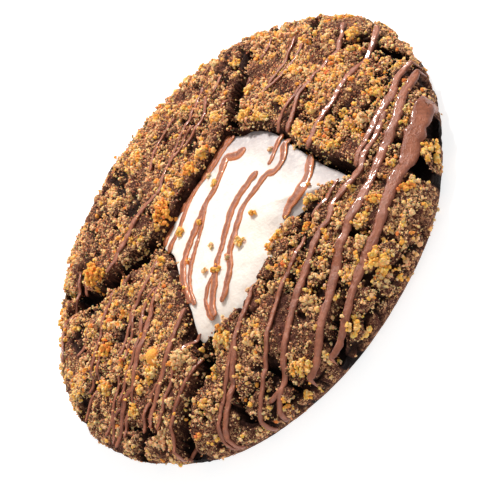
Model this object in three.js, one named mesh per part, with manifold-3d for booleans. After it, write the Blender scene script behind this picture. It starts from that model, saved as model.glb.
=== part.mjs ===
// A stuffed chocolate cookie, in millimetres, +Z up, standing on its flat base at z = 0.
// The dark round cookie has cracked open over its filling: a white marshmallow sits in the
// opening. Golden biscuit crumbs and strands of milk chocolate lie on both.
import * as THREE from 'three';
import { mergeVertices } from 'three/addons/utils/BufferGeometryUtils.js';
import Module from 'manifold-3d';

const wasm = await Module();
wasm.setup();

// ---- Driving dimensions -------------------------------------------------------------------

const COOKIE_RADIUS = 55;
const CROWN_HEIGHT = 17;
const WAIST_HEIGHT = 5.5; // where the side is widest
const BASE_SHARE = 0.93; // radius of the flat base, as a share of the cookie's radius
const DOME_POWER = 3;
const DOME_ROUNDING = 1.6;

const FILLING_CENTRE = { x: 0, y: -5 };
const PIT_FLOOR = 4.6;
const FILLING_FLOOR = 5;
const FILLING_CROWN = 15.4;

const RING_SEGMENTS = 56;
const STRAND_SIDES = 4;
const STRAND_STEP = 6; // length of one piece of a chocolate strand
const STRAND_RISE = 0.55; // a strand's height, as a share of its width

const CRUMB_PLACES = 84; // spread over the whole top, the opening included
const LARGEST_CRUMB = 2.9;
const SMALLEST_CRUMB = 1.7;
const CLUMP_WIDTH = 3; // lumps from this width up are rounder

// The lip of the opening: x, y, the gap between the lip and the marshmallow, and the height of the
// marshmallow's border there.
const LIP = [
  [22.9, -5, 0.8, 13.6], [22.7, 1, 0.6, 13.6], [21, 6.5, 0.6, 13.4], [18.8, 9.5, 0.8, 13.2], [17, 13, 0.9, 13.2],
  [12.5, 12.5, 0.5, 14.3], [6.5, 11.6, 0.5, 14.8], [0, 11, 0.5, 14.8], [-7, 10.4, 0.5, 14.7],
  [-12.5, 9, 0.6, 14.2], [-13, 3, 0.5, 14.6], [-16.5, -5.5, 0.5, 15.3], [-20, -14, 0.6, 15],
  [-25.8, -22, 2.4, 12], [-19.5, -25, 1, 11.8], [-11, -27, 0.6, 12], [-2, -26.5, 0.6, 12.4],
  [3.5, -24, 0.6, 12.8], [9, -25, 0.6, 12.8], [16, -26, 0.7, 12.6], [21.5, -30.5, 1.4, 11.9],
  [25.6, -32.8, 4.4, 11.2], [25.3, -27.5, 3.6, 11.4], [23.6, -20, 1.9, 12.2], [22.8, -13, 0.9, 13.2],
];

// The cracks: their route over the top, their widths along it and their depth.
const CRACKS = [
  { route: [[-11, 9], [-17, 12], [-24, 15], [-30.5, 19.5], [-37, 27.5]], widths: [4.6, 5.6, 5, 3.4], depth: 8 },
  { route: [[-28, 18], [-31.5, 25], [-34, 33], [-35, 40]], widths: [2.4, 2.6, 1.6], depth: 3.5 },
  { route: [[16, 10], [21, 13.7], [27, 19], [35, 26.5]], widths: [3.6, 3.6, 3.4, 2.4], depth: 8 },
  { route: [[-22, -21], [-25.5, -26.5], [-36.5, -28], [-44.5, -32]], widths: [5, 4.2, 2.4, 2.8], depth: 7 },
  { route: [[-42, 1], [-50.5, 5.5], [-53.5, 6.5]], widths: [1.2, 4.5, 5.5], depth: 4 },
  { route: [[-41, -17.6], [-46, -19], [-51.5, -17.5]], widths: [1.6, 2.6, 2.2], depth: 3.5 },
  { route: [[-27, -37], [-31.2, -42.5], [-30.2, -44.5]], widths: [1.4, 2, 1.4], depth: 3.5 },
  { route: [[-20, -41.5], [-19.4, -45], [-20, -50]], widths: [1.4, 2, 1.6], depth: 3.5 },
  { route: [[1, -49], [-3, -49.7], [-10, -53.6]], widths: [2.2, 3, 2.4], depth: 4 },
  { route: [[10.5, -39.6], [12.5, -41], [15, -44.5]], widths: [1.8, 2.4, 1.6], depth: 3.5 },
  { route: [[34.2, -37.4], [32.4, -40.7], [33, -46]], widths: [3.2, 4.2, 2.4], depth: 5 },
  { route: [[39.5, -36.3], [42, -34.5], [45, -34.2]], widths: [2.2, 3, 2], depth: 4 },
  { route: [[50.3, -7], [50.7, -12], [51.6, -15.5]], widths: [1.4, 2.2, 1.6], depth: 3 },
  { route: [[45.8, 0], [48.5, -2], [51, -4]], widths: [2, 3, 2.2], depth: 4 },
  { route: [[49, 18], [46, 12], [43, 8.7]], widths: [2.4, 2.4, 1.4], depth: 4 },
];

// Milk chocolate on the cookie: route and the strand's width along it.
const COOKIE_STRANDS = [
  {
    route: [[47.5, -31], [42.5, -33.5], [34, -37.5], [23, -43], [10, -47.5], [-6.5, -53]],
    widths: [4.2, 6, 3.2, 2.8, 2.3, 1.6],
  },
  { route: [[50, -22.5], [38, -30], [22.5, -37.5], [5, -43.5], [-12.5, -51]], widths: [2.4, 3, 2.7, 2.5, 2.2] },
  { route: [[51, -20], [41.5, -24], [34.5, -27], [25, -31]], widths: [1.6, 2.8, 2.2, 1.6] },
  { route: [[38.5, -27], [25.5, -33], [13, -35.5], [-6.5, -41], [-27.5, -50]], widths: [1.6, 2.2, 2, 2, 1.6] },
  { route: [[7, -32], [-8.5, -37], [-27.5, -45], [-31, -49]], widths: [1.2, 1.4, 1.3, 1.2] },
  { route: [[-4, -26.5], [-18, -32], [-34, -39], [-37.5, -43.5]], widths: [1.3, 1.8, 1.7, 1.5] },
  { route: [[-20, -14], [-32, -17.5], [-45, -22]], widths: [1.6, 2, 1.4] },
  { route: [[-26.5, -25.5], [-41.5, -26], [-47, -30]], widths: [1.1, 1.4, 1.2] },
  { route: [[-31.5, -20.5], [-39, -22], [-44.5, -23.5]], widths: [0.9, 1.2, 1] },
  { route: [[-36.5, -17.5], [-43, -17], [-47, -19]], widths: [0.9, 1.2, 1] },
  { route: [[-18.5, -1.5], [-31, -7], [-40.5, -10.5], [-53.5, -11.5]], widths: [1.5, 1.9, 1.8, 1.4] },
  { route: [[-20, -1], [-29.5, -4], [-45, -9]], widths: [1.1, 1.3, 1.1] },
  { route: [[-15.5, 4.5], [-27.5, 2], [-37, -2]], widths: [1.1, 1.3, 1.1] },
  { route: [[-40.5, -4.5], [-53, -7.5]], widths: [1.1, 1.2, 1.1] },
  { route: [[-3.5, 18.5], [-11.5, 20], [-24.5, 19]], widths: [1.6, 2.2, 1.6] },
  { route: [[14, 22.5], [3, 22.5], [-3.5, 18.5]], widths: [1, 1.2, 1.4] },
  { route: [[22.5, 32.5], [13.5, 26], [3, 22]], widths: [1, 1.1, 1] },
  { route: [[13, 33], [7, 32.5], [0, 28]], widths: [0.9, 1.1, 0.9] },
  { route: [[-28, 32], [-39.5, 28], [-46.5, 20.5]], widths: [1.1, 1.5, 1.2] },
  { route: [[-19, 19], [-28.5, 11.5], [-42, 6], [-48, 4.5]], widths: [1.1, 1.3, 1.1] },
  { route: [[-36, 7], [-45, 2], [-53.5, 1]], widths: [1, 1.2, 1] },
  { route: [[43, 14.5], [33.5, 10.5], [29.5, 10.5]], widths: [1, 1.3, 1.1] },
  { route: [[51, 6], [41, -1], [29.5, -4], [23.5, -7]], widths: [1.3, 1.6, 1.4, 1.6] },
  { route: [[54, -3], [43, -9.5], [23, -16.5]], widths: [1.6, 2, 1.9] },
  { route: [[34, -1.5], [22.5, -4]], widths: [1, 1.3] },
];

// Milk chocolate on the marshmallow.
const FILLING_STRANDS = [
  { route: [[17, 11], [6, 10], [-6.5, 7], [-13, 5.5]], widths: [1.2, 1.4, 1.4, 1.2] },
  { route: [[16, 4.5], [12, 8], [1.5, 3.5], [-12, -2], [-20, -10]], widths: [2.6, 1.8, 2, 1.9, 1.6] },
  { route: [[3.5, 4], [-10, -4], [-19.5, -14]], widths: [1, 1.1, 1] },
  { route: [[13, -5.5], [3, -6], [-7.5, -12], [-18, -21.5]], widths: [2, 1.7, 1.7, 1.5] },
  {
    route: [[22, -6.5], [17, -9.7], [5.5, -8.5], [-4, -13.5], [-14.5, -21]],
    widths: [1.8, 1.6, 1.7, 1.7, 1.4],
  },
  { route: [[22, -3.7], [15.5, -7]], widths: [1.4, 1.1] },
  { route: [[21.5, -16], [15, -21], [7.5, -22]], widths: [2.2, 3, 1.8] },
];

// The clumps of crumb that show from a step away: x, y and width.
const CLUMPS = [
  [-26.5, 23, 5.5], [-6.2, 12.6, 5], [-35.5, -14.5, 3.8], [-39, -28.7, 3.3], [-44.5, -13.7, 3.1],
  [-44.5, -2.2, 2.9], [-46, -23.3, 4], [-20.3, -29.8, 3.6], [-29, -21, 4], [-32.5, -13, 3.6], [-37.5, 4, 3.6],
  [-33.5, 11.5, 2.6], [3.7, -26, 3.6], [0.6, -27, 3.1], [8.6, -31.3, 2.6], [14.6, -27, 3.3],
  [11.3, -50.7, 4.8], [21.3, -41, 2.9], [16, -42, 3.4], [12.4, -45.2, 3.3], [-2.5, -52.6, 4.3],
  [-3.5, -43, 2.9], [-15.7, -49.4, 4.5], [24.6, -10.5, 2.6], [49.8, 0.7, 2.9], [47, -3.4, 2.4],
  [40.8, -19.4, 3.1], [34.4, -22.9, 3.8], [27.2, -22.1, 3.3], [37, -38.8, 4.5], [36.6, -42, 2.6],
  [27.2, -43.9, 2.6], [30.7, -9.4, 2.9], [17.8, 17, 3.3], [22.3, 9.4, 3.1], [23.9, 5.6, 3.1],
  [27.4, 15.3, 2.4], [31, 29, 2.9], [9.4, 14, 3.1], [5.2, 14, 3.1], [1.2, 13.3, 2.6],
];

const CHOCOLATE_DOUGH = 0x2e1d18;
const MARSHMALLOW_WHITE = 0xf2ede6;

// ---- Shape of the cookie and its filling ---------------------------------------------------

// A fixed scatter of numbers from 0 to 1, the same on every run.
function scatter(n) {
  const wave = Math.sin(n * 127.1 + 311.7) * 43758.5453;
  return wave - Math.floor(wave);
}

// How far the uneven rim stands from a true circle, at an angle in plan.
function rimShare(angle) {
  const broad = 0.006 * Math.sin(2 * angle + 0.6);
  const fine = 0.004 * Math.sin(6 * angle + 2.1) + 0.003 * Math.sin(10 * angle);
  return 1 + broad + fine;
}

// Gentle swells left by the dough as it spread.
function swell(x, y) {
  return 0.45 * Math.sin(x / 7.3 + 1.3) * Math.sin(y / 6.1 + 0.4) + 0.3 * Math.sin(x / 3.9 + y / 5.2);
}

// Height of the cookie's domed top at a point in plan, before cracks and opening.
function domeHeight(x, y) {
  const share = Math.min(Math.hypot(x, y) / (COOKIE_RADIUS * rimShare(Math.atan2(y, x))), 1);
  const fall = (1 - share ** DOME_POWER) ** (1 / DOME_ROUNDING);
  return WAIST_HEIGHT + (CROWN_HEIGHT - WAIST_HEIGHT + swell(x, y)) * fall;
}

// The lip's smooth outline, drawn in towards the filling's centre by its gaps. Each point's z is
// the height of the marshmallow's border there.
function lipOutline(gapShare, count) {
  const corners = LIP.map(([x, y, gap, borderHeight]) => {
    const inward = 1 - (gap * gapShare) / Math.hypot(x - FILLING_CENTRE.x, y - FILLING_CENTRE.y);
    return new THREE.Vector3(
      FILLING_CENTRE.x + (x - FILLING_CENTRE.x) * inward,
      FILLING_CENTRE.y + (y - FILLING_CENTRE.y) * inward,
      borderHeight,
    );
  });
  const curve = new THREE.CatmullRomCurve3(corners, true, 'centripetal');
  return curve.getPoints(count).slice(0, count);
}

// Height of the marshmallow's soft top, at a share of the way from its centre to its border.
function fillingHeight(share, borderHeight) {
  return borderHeight + (FILLING_CROWN - borderHeight) * (1 - Math.min(share, 1) ** 3) ** 0.7;
}

// Where a point in plan lies in an outline: its share of the way from the centre to the border,
// and the border's height in that direction.
function placeInside(x, y, outline) {
  const dx = x - FILLING_CENTRE.x;
  const dy = y - FILLING_CENTRE.y;
  let share = 0;
  let borderHeight = outline[0].z;
  for (let i = 0; i < outline.length; i++) {
    const a = outline[i];
    const b = outline[(i + 1) % outline.length];
    const ax = a.x - FILLING_CENTRE.x;
    const ay = a.y - FILLING_CENTRE.y;
    const ex = b.x - a.x;
    const ey = b.y - a.y;
    const cross = dx * ey - dy * ex;
    const reach = (ax * ey - ay * ex) / cross; // the border lies at reach times the point's offset
    const t = (ax * dy - ay * dx) / cross;
    if (reach > 0 && t >= 0 && t < 1) {
      share = 1 / reach;
      borderHeight = THREE.MathUtils.lerp(a.z, b.z, t);
    }
  }
  return { share, borderHeight };
}

// ---- Solids ---------------------------------------------------------------------------------

// A closed three.js geometry as a solid that can be joined and cut.
function toSolid(geometry) {
  const bare = geometry.clone();
  bare.deleteAttribute('normal');
  bare.deleteAttribute('uv');
  const merged = mergeVertices(bare, 1e-4);
  const vertProperties = new Float32Array(merged.attributes.position.array);
  const triVerts = new Uint32Array(merged.index.array);
  let solid = new wasm.Manifold(new wasm.Mesh({ numProp: 3, vertProperties, triVerts }));
  if (solid.volume() < 0) {
    for (let i = 0; i < triVerts.length; i += 3) {
      const first = triVerts[i];
      triVerts[i] = triVerts[i + 1];
      triVerts[i + 1] = first;
    }
    solid = new wasm.Manifold(new wasm.Mesh({ numProp: 3, vertProperties, triVerts }));
  }
  return solid;
}

// The largest body of a solid: scraps cut loose from it are dropped.
function largestBody(solid) {
  return solid.decompose().reduce((best, body) => (body.volume() > best.volume() ? body : best));
}

function toGeometry(solid) {
  const mesh = solid.getMesh();
  const geometry = new THREE.BufferGeometry();
  geometry.setAttribute('position', new THREE.BufferAttribute(new Float32Array(mesh.vertProperties), 3));
  geometry.setIndex(new THREE.BufferAttribute(new Uint32Array(mesh.triVerts), 1));
  geometry.computeVertexNormals();
  return geometry;
}

// Moves every vertex of a geometry to the place that a function gives for it.
function warp(geometry, place) {
  const position = geometry.attributes.position;
  const point = new THREE.Vector3();
  for (let i = 0; i < position.count; i++) {
    point.fromBufferAttribute(position, i);
    place(point);
    position.setXYZ(i, point.x, point.y, point.z);
  }
  return geometry;
}

// A profile of [radius, height] pairs turned about the Z axis.
function turned(profile, segments) {
  const points = profile.map(([radius, height]) => new THREE.Vector2(radius, height));
  return new THREE.LatheGeometry(points, segments).rotateX(Math.PI / 2);
}

// The round cookie before it is cracked and dressed.
function cookieBody() {
  const profile = [[0, 0], [COOKIE_RADIUS * BASE_SHARE, 0]];
  for (let step = 1; step <= 3; step++) {
    const turn = (step / 3) * (Math.PI / 2);
    profile.push([
      COOKIE_RADIUS * (BASE_SHARE + (1 - BASE_SHARE) * Math.sin(turn)),
      WAIST_HEIGHT * (1 - Math.cos(turn)),
    ]);
  }
  const shares = [0.98, 0.945, 0.895, 0.83, 0.75, 0.66, 0.56, 0.45, 0.3, 0];
  shares.forEach((share) => profile.push([COOKIE_RADIUS * share, CROWN_HEIGHT]));
  const body = turned(profile, RING_SEGMENTS);
  return toSolid(warp(body, (point) => {
    const share = rimShare(Math.atan2(point.y, point.x));
    const isTop = point.z === Math.fround(CROWN_HEIGHT);
    point.x *= share;
    point.y *= share;
    if (isTop) point.z = domeHeight(point.x, point.y);
  }));
}

// The marshmallow, or the pit it lies in: rings that follow an outline in plan. A ring's height is
// a number, or a function of the border's height.
function fillingBody(outline, profile) {
  const geometry = new THREE.LatheGeometry(
    profile.map(([share, height]) => new THREE.Vector2(share, height)),
    outline.length,
  );
  const position = geometry.attributes.position;
  const rings = profile.length;
  for (let i = 0; i < position.count; i++) {
    const corner = outline[Math.floor(i / rings) % outline.length];
    const [share, height] = profile[i % rings];
    position.setXYZ(
      i,
      FILLING_CENTRE.x + (corner.x - FILLING_CENTRE.x) * share,
      FILLING_CENTRE.y + (corner.y - FILLING_CENTRE.y) * share,
      typeof height === 'function' ? height(corner.z) : height,
    );
  }
  return toSolid(geometry);
}

// The value of an evenly spaced row of numbers at a share of its length.
function along(row, share) {
  const place = share * (row.length - 1);
  const before = Math.min(Math.floor(place), row.length - 2);
  return THREE.MathUtils.lerp(row[before], row[before + 1], place - before);
}

// A smooth route in plan through the given points.
function routeCurve(route) {
  return new THREE.CatmullRomCurve3(route.map(([x, y]) => new THREE.Vector3(x, y, 0)), false, 'centripetal');
}

// The place at a share of a route's length, and the direction to the left of its run there.
function alongRoute(curve, share) {
  const point = curve.getPointAt(share);
  const run = curve.getTangentAt(share);
  return { point, side: new THREE.Vector3(-run.y, run.x, 0) };
}

// A wedge of air that opens a crack: wide at the top, narrow at the bottom, pointed at its ends.
function crackWedge({ route, widths, depth }, seed) {
  const curve = routeCurve(route);
  const pieces = Math.max(4, Math.round(curve.getLength() / 3.2));
  const wedge = new THREE.BoxGeometry(1, 1, 1, pieces, 1, 1);
  return toSolid(warp(wedge, (local) => {
    const share = THREE.MathUtils.clamp(local.x + 0.5, 0, 1);
    const { point, side } = alongRoute(curve, share);
    const taper = 0.12 + 0.88 * Math.sin(Math.PI * (0.12 + 0.76 * share));
    const ragged = 0.8 + 0.4 * scatter(seed * 17 + Math.round(share * pieces) + (local.y > 0 ? 50 : 0));
    const isTop = local.z > 0;
    const half = (along(widths, share) / 2) * taper * ragged * (isTop ? 1.15 : 0.3);
    const top = domeHeight(point.x, point.y);
    local.x = point.x + side.x * half * Math.sign(local.y);
    local.y = point.y + side.y * half * Math.sign(local.y);
    local.z = isTop ? top + 2.5 : Math.max(top - depth * taper, PIT_FLOOR);
  }));
}

// A strand of chocolate laid along its route on a surface, flattened and uneven in width.
function strand({ route, widths }, surface, seed) {
  const curve = routeCurve(route);
  const pieces = Math.max(3, Math.round(curve.getLength() / STRAND_STEP));
  const tube = new THREE.CylinderGeometry(1, 1, 1, STRAND_SIDES, pieces);
  return toSolid(warp(tube, (local) => {
    const share = THREE.MathUtils.clamp(local.y + 0.5, 0, 1);
    const { point, side } = alongRoute(curve, share);
    const width = along(widths, share);
    const uneven = 0.9 + 0.2 * scatter(seed * 31 + Math.round(share * pieces));
    const isEnd = share < 0.001 || share > 0.999;
    const half = (width / 2) * uneven * (isEnd ? 0.55 : 1);
    const across = local.x * half;
    const up = local.z * width * STRAND_RISE;
    local.x = point.x + side.x * across;
    local.y = point.y + side.y * across;
    local.z = surface(point.x, point.y) + up + 0.12 * width;
  }));
}

// A crumb or a clump: an uneven lump sunk a little into what it lies on.
function crumb(x, y, width, surface, seed) {
  const lump = width < CLUMP_WIDTH ? new THREE.OctahedronGeometry(1) : new THREE.IcosahedronGeometry(1);
  lump.rotateX(seed).rotateZ(2 * seed);
  const height = surface(x, y) + 0.16 * width;
  return toSolid(warp(lump, (local) => {
    const knot = Math.round(local.x * 7 + local.y * 13 + local.z * 29);
    const uneven = 0.8 + 0.36 * scatter(seed * 53 + knot);
    local.multiplyScalar((width / 2) * uneven);
    local.set(x + local.x, y + local.y, height + local.z * 0.85);
  }));
}

// Places for the loose crumbs: an even spiral over the whole top, left bare over the opening.
function looseCrumbs(outline) {
  const goldenTurn = Math.PI * (3 - Math.sqrt(5));
  const places = [];
  for (let n = 0; n < CRUMB_PLACES; n++) {
    const reach = COOKIE_RADIUS * 0.95 * Math.sqrt((n + 0.5) / CRUMB_PLACES);
    const angle = n * goldenTurn + 0.4 * scatter(n);
    const x = reach * Math.cos(angle);
    const y = reach * Math.sin(angle);
    const width = LARGEST_CRUMB + (SMALLEST_CRUMB - LARGEST_CRUMB) * Math.sqrt(scatter(n + CRUMB_PLACES));
    if (placeInside(x, y, outline).share > 1.08) places.push([x, y, width]);
  }
  return places;
}

// ---- The two pieces --------------------------------------------------------------------------

const OUTLINE_POINTS = 50;
const lip = lipOutline(0, OUTLINE_POINTS);
const border = lipOutline(1, OUTLINE_POINTS);

function makeCookie() {
  const pit = fillingBody(lip, [[0, PIT_FLOOR], [0.9, PIT_FLOOR], [1, 9], [1.02, 26], [0, 26]]);
  let cookie = cookieBody();
  CRACKS.forEach((crack, i) => {
    cookie = cookie.subtract(crackWedge(crack, i));
  });
  const pieces = [
    ...COOKIE_STRANDS.map((data, i) => strand(data, domeHeight, i)),
    ...CLUMPS.map(([x, y, width], i) => crumb(x, y, width, domeHeight, i)),
    ...looseCrumbs(lip).map(([x, y, width], i) => crumb(x, y, width, domeHeight, i + CLUMPS.length)),
  ];
  pieces.forEach((piece) => {
    cookie = cookie.add(piece);
  });
  return largestBody(cookie.subtract(pit));
}

function makeMarshmallow() {
  const profile = [[0, FILLING_FLOOR], [0.88, FILLING_FLOOR], [1, 9]];
  const shares = [1, 0.96, 0.88, 0.74, 0.5, 0];
  shares.forEach((share) => profile.push([share, (height) => fillingHeight(share, height)]));
  const surface = (x, y) => {
    const { share, borderHeight } = placeInside(x, y, border);
    return fillingHeight(share, borderHeight);
  };
  let marshmallow = fillingBody(border, profile);
  FILLING_STRANDS.forEach((data, i) => {
    marshmallow = marshmallow.add(strand(data, surface, i + COOKIE_STRANDS.length));
  });
  const room = fillingBody(border, [[0, 0], [1, 0], [1, 26], [0, 26]]);
  return largestBody(marshmallow.intersect(room));
}

function namedMesh(name, solid, color, roughness) {
  const material = new THREE.MeshStandardMaterial({ color, roughness, metalness: 0, flatShading: true });
  const mesh = new THREE.Mesh(toGeometry(solid), material);
  mesh.name = name;
  return mesh;
}

const stuffedCookie = new THREE.Group();
stuffedCookie.add(namedMesh('cookie', makeCookie(), CHOCOLATE_DOUGH, 0.85));
stuffedCookie.add(namedMesh('marshmallow', makeMarshmallow(), MARSHMALLOW_WHITE, 0.6));

export default stuffedCookie;
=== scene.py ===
"""A stuffed chocolate cookie: dark dough cracked open over a marshmallow, under crumbs and milk chocolate.

Lengths are worked out in millimetres and written to the meshes in metres. +Z is up and the cookie stands on
z = 0.
"""

import logging
import math
from collections.abc import Callable, Sequence
from dataclasses import dataclass, field
from enum import Enum

import bmesh
import bpy
import numpy as np
from mathutils import Matrix, Vector
from mathutils.bvhtree import BVHTree

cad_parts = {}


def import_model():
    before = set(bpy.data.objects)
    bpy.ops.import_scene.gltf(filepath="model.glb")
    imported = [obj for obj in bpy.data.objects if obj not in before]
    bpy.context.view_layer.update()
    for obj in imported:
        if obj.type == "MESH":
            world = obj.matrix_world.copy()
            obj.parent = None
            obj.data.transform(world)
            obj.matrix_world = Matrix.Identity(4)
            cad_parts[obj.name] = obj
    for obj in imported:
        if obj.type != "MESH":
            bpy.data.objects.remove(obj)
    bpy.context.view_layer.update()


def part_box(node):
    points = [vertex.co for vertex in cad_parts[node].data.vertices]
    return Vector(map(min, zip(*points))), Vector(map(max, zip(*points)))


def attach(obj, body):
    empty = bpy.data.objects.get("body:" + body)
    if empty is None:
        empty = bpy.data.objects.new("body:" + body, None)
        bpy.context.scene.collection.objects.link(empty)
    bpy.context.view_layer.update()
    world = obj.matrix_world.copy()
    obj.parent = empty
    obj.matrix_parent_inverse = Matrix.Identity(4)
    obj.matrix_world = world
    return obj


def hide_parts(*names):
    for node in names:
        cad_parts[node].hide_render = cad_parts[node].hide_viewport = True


LOG = logging.getLogger("stuffed_cookie")
MM = 0.001
BODY = "root"
Route = tuple[tuple[float, float], ...]
Screen = tuple[int, int, int]
CURVE_STEPS = 24
CELL_FACTORS = (374761393, 668265263, 1440670441)
SEED_FACTOR = 974634777
MIXING_FACTOR = 1274126177
LOW_24_BITS = 0xFFFFFF
LOW_32_BITS = 0xFFFFFFFF


# ---- Numbers and curves ---------------------------------------------------------------------


def lattice(cell: np.ndarray, seed: int) -> np.ndarray:
    """Gives each cell of space its own repeatable number.

    Args:
        cell: Whole-number coordinates, with the last axis of length 3.
        seed: Picks one of many sets of numbers.

    Returns:
        Numbers from 0 to 1, one for each cell.
    """
    mixed = sum(cell[..., axis] * factor for axis, factor in enumerate(CELL_FACTORS)) + seed * SEED_FACTOR
    mixed &= LOW_32_BITS
    mixed = ((mixed ^ (mixed >> 13)) * MIXING_FACTOR) & LOW_32_BITS
    return ((mixed ^ (mixed >> 16)) & LOW_24_BITS) / LOW_24_BITS


def ripple(points: np.ndarray, size: float, seed: int) -> np.ndarray:
    """Soft random swells in space.

    Args:
        points: Places in millimetres, shape (n, 3).
        size: Width of one swell in millimetres.
        seed: Picks one of many patterns.

    Returns:
        One number from -1 to 1 for each place.
    """
    scaled = points / size
    cell = np.floor(scaled).astype(np.int64)
    part = scaled - cell
    part = part * part * (3 - 2 * part)
    total = np.zeros(len(points))
    for corner in np.ndindex(2, 2, 2):
        weight = np.prod(np.where(np.array(corner) == 1, part, 1 - part), axis=1)
        total += weight * lattice(cell + np.array(corner), seed)
    return 2 * total - 1


def rough(points: np.ndarray, size: float, seed: int, octaves: int = 4) -> np.ndarray:
    """Swells with ever finer ones on top.

    Args:
        points: Places in millimetres, shape (n, 3).
        size: Width of the broadest swell in millimetres.
        seed: Picks one of many patterns.
        octaves: How many finer layers there are, each half as wide and high.

    Returns:
        One number from about -1 to 1 for each place.
    """
    layers = [ripple(points, size / 2**n, seed + n) / 2**n for n in range(octaves)]
    return sum(layers) / (2 - 0.5 ** (octaves - 1))


def crazing(points: np.ndarray, size: float, seed: int) -> np.ndarray:
    """Distance from the borders of irregular plates, as on a crazed crust.

    Args:
        points: Places in millimetres, shape (n, 3).
        size: Width of a plate in millimetres.
        seed: Picks one of many patterns.

    Returns:
        0 on a border between two plates, up to about 1 inside one.
    """
    scaled = points / size
    cell = np.floor(scaled).astype(np.int64)
    nearest = np.full(len(points), np.inf)
    second = np.full(len(points), np.inf)
    for step in np.ndindex(3, 3, 3):
        neighbour = cell + np.array(step) - 1
        offset = np.stack([lattice(neighbour, seed + axis) for axis in range(3)], axis=1)
        apart = np.linalg.norm(neighbour + offset - scaled, axis=1)
        second = np.minimum(second, np.maximum(nearest, apart))
        nearest = np.minimum(nearest, apart)
    return second - nearest


def eased(low: float, high: float, value: np.ndarray) -> np.ndarray:
    """A smooth step from 0 at low to 1 at high."""
    share = np.clip((value - low) / (high - low), 0, 1)
    return share * share * (3 - 2 * share)


def flowing(corners: Sequence[Sequence[float]], spacing: float, closed: bool = False) -> np.ndarray:
    """Draws a smooth curve through a few places.

    Args:
        corners: The places, each with the same count of numbers.
        spacing: Distance between the points that are given back, in the first two numbers.
        closed: Whether the curve runs back to its start.

    Returns:
        Evenly spaced points on the curve, shape (n, count of numbers).
    """
    knots = np.array(corners, float)
    if closed:
        knots = np.vstack([knots[-1], knots, knots[0], knots[1]])
    else:
        knots = np.vstack([2 * knots[0] - knots[1], knots, 2 * knots[-1] - knots[-2]])
    share = np.linspace(0, 1, CURVE_STEPS, endpoint=False)[:, None]
    spans = []
    for before, start, end, after in zip(knots, knots[1:], knots[2:], knots[3:]):
        rise = (end - before) / 2
        fall = (after - start) / 2
        spans.append(
            start * (2 * share**3 - 3 * share**2 + 1)
            + end * (3 * share**2 - 2 * share**3)
            + rise * (share**3 - 2 * share**2 + share)
            + fall * (share**3 - share**2)
        )
    dense = np.vstack([*spans, knots[-2][None]])
    run = np.concatenate([[0], np.cumsum(np.linalg.norm(np.diff(dense[:, :2], axis=0), axis=1))])
    count = max(4, round(run[-1] / spacing))
    even = np.linspace(0, run[-1], count + 1)
    return np.stack([np.interp(even, run, dense[:, axis]) for axis in range(dense.shape[1])], axis=1)


def distance_to(places: np.ndarray, route: np.ndarray) -> tuple[np.ndarray, np.ndarray]:
    """Distance in plan from places to a route.

    Args:
        places: Plan places, shape (n, 2).
        route: Closely spaced plan points, shape (m, 2).

    Returns:
        The distance for each place, and the index of the nearest point of the route.
    """
    gaps = (places[:, None, 0] - route[None, :, 0]) ** 2 + (places[:, None, 1] - route[None, :, 1]) ** 2
    nearest = gaps.argmin(axis=1)
    return np.sqrt(gaps[np.arange(len(places)), nearest]), nearest


# ---- Meshes ---------------------------------------------------------------------------------


def read_points(mesh: bpy.types.Mesh) -> np.ndarray:
    """Reads where a mesh's vertices are.

    Args:
        mesh: The mesh.

    Returns:
        The vertices in millimetres, shape (n, 3).
    """
    flat = np.empty(len(mesh.vertices) * 3)
    mesh.vertices.foreach_get("co", flat)
    return flat.reshape(-1, 3) / MM


def write_points(mesh: bpy.types.Mesh, points: np.ndarray) -> None:
    """Moves the mesh's vertices to places given in millimetres."""
    mesh.vertices.foreach_set("co", (points * MM).ravel())
    mesh.update()


def read_normals(mesh: bpy.types.Mesh) -> np.ndarray:
    """Reads which way a mesh's vertices face.

    Args:
        mesh: The mesh.

    Returns:
        The vertex normals, shape (n, 3).
    """
    flat = np.empty(len(mesh.vertices) * 3)
    mesh.vertices.foreach_get("normal", flat)
    return flat.reshape(-1, 3)


def triangles_of(mesh: bpy.types.Mesh) -> np.ndarray:
    """Cuts a mesh's faces into triangles.

    Args:
        mesh: The mesh, which stays as it is.

    Returns:
        The vertex numbers of each triangle, shape (n, 3).
    """
    mesh.calc_loop_triangles()
    flat = np.empty(len(mesh.loop_triangles) * 3, np.int32)
    mesh.loop_triangles.foreach_get("vertices", flat)
    return flat.reshape(-1, 3)


def mesh_from(name: str, points: np.ndarray, faces: np.ndarray) -> bpy.types.Mesh:
    """Joins arrays of vertices and triangles into one mesh.

    Args:
        name: The mesh's name.
        points: Vertices in millimetres, shape (n, 3).
        faces: Vertex numbers of the triangles, shape (m, 3).

    Returns:
        The new mesh.
    """
    mesh = bpy.data.meshes.new(name)
    mesh.vertices.add(len(points))
    mesh.vertices.foreach_set("co", (points * MM).ravel())
    mesh.loops.add(faces.size)
    mesh.loops.foreach_set("vertex_index", faces.ravel())
    mesh.polygons.add(len(faces))
    mesh.polygons.foreach_set("loop_start", np.arange(0, faces.size, 3))
    mesh.update(calc_edges=True)
    return mesh


def set_attribute(mesh: bpy.types.Mesh, name: str, values: np.ndarray) -> None:
    """Stores one number for each vertex of a mesh."""
    layer = mesh.attributes.new(name, "FLOAT", "POINT")
    layer.data.foreach_set("value", values.astype(np.float32))


def show(
    name: str, mesh: bpy.types.Mesh, material: bpy.types.Material, smooth: bool = True
) -> bpy.types.Object:
    """Puts a mesh into the scene as a piece of the object.

    Args:
        name: The piece's name.
        mesh: Its mesh.
        material: Its finish.
        smooth: Whether its faces are shaded as one soft surface.

    Returns:
        The new object, at the origin.
    """
    mesh.materials.append(material)
    mesh.polygons.foreach_set("use_smooth", np.full(len(mesh.polygons), smooth))
    piece = bpy.data.objects.new(name, mesh)
    bpy.context.scene.collection.objects.link(piece)
    return piece


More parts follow.
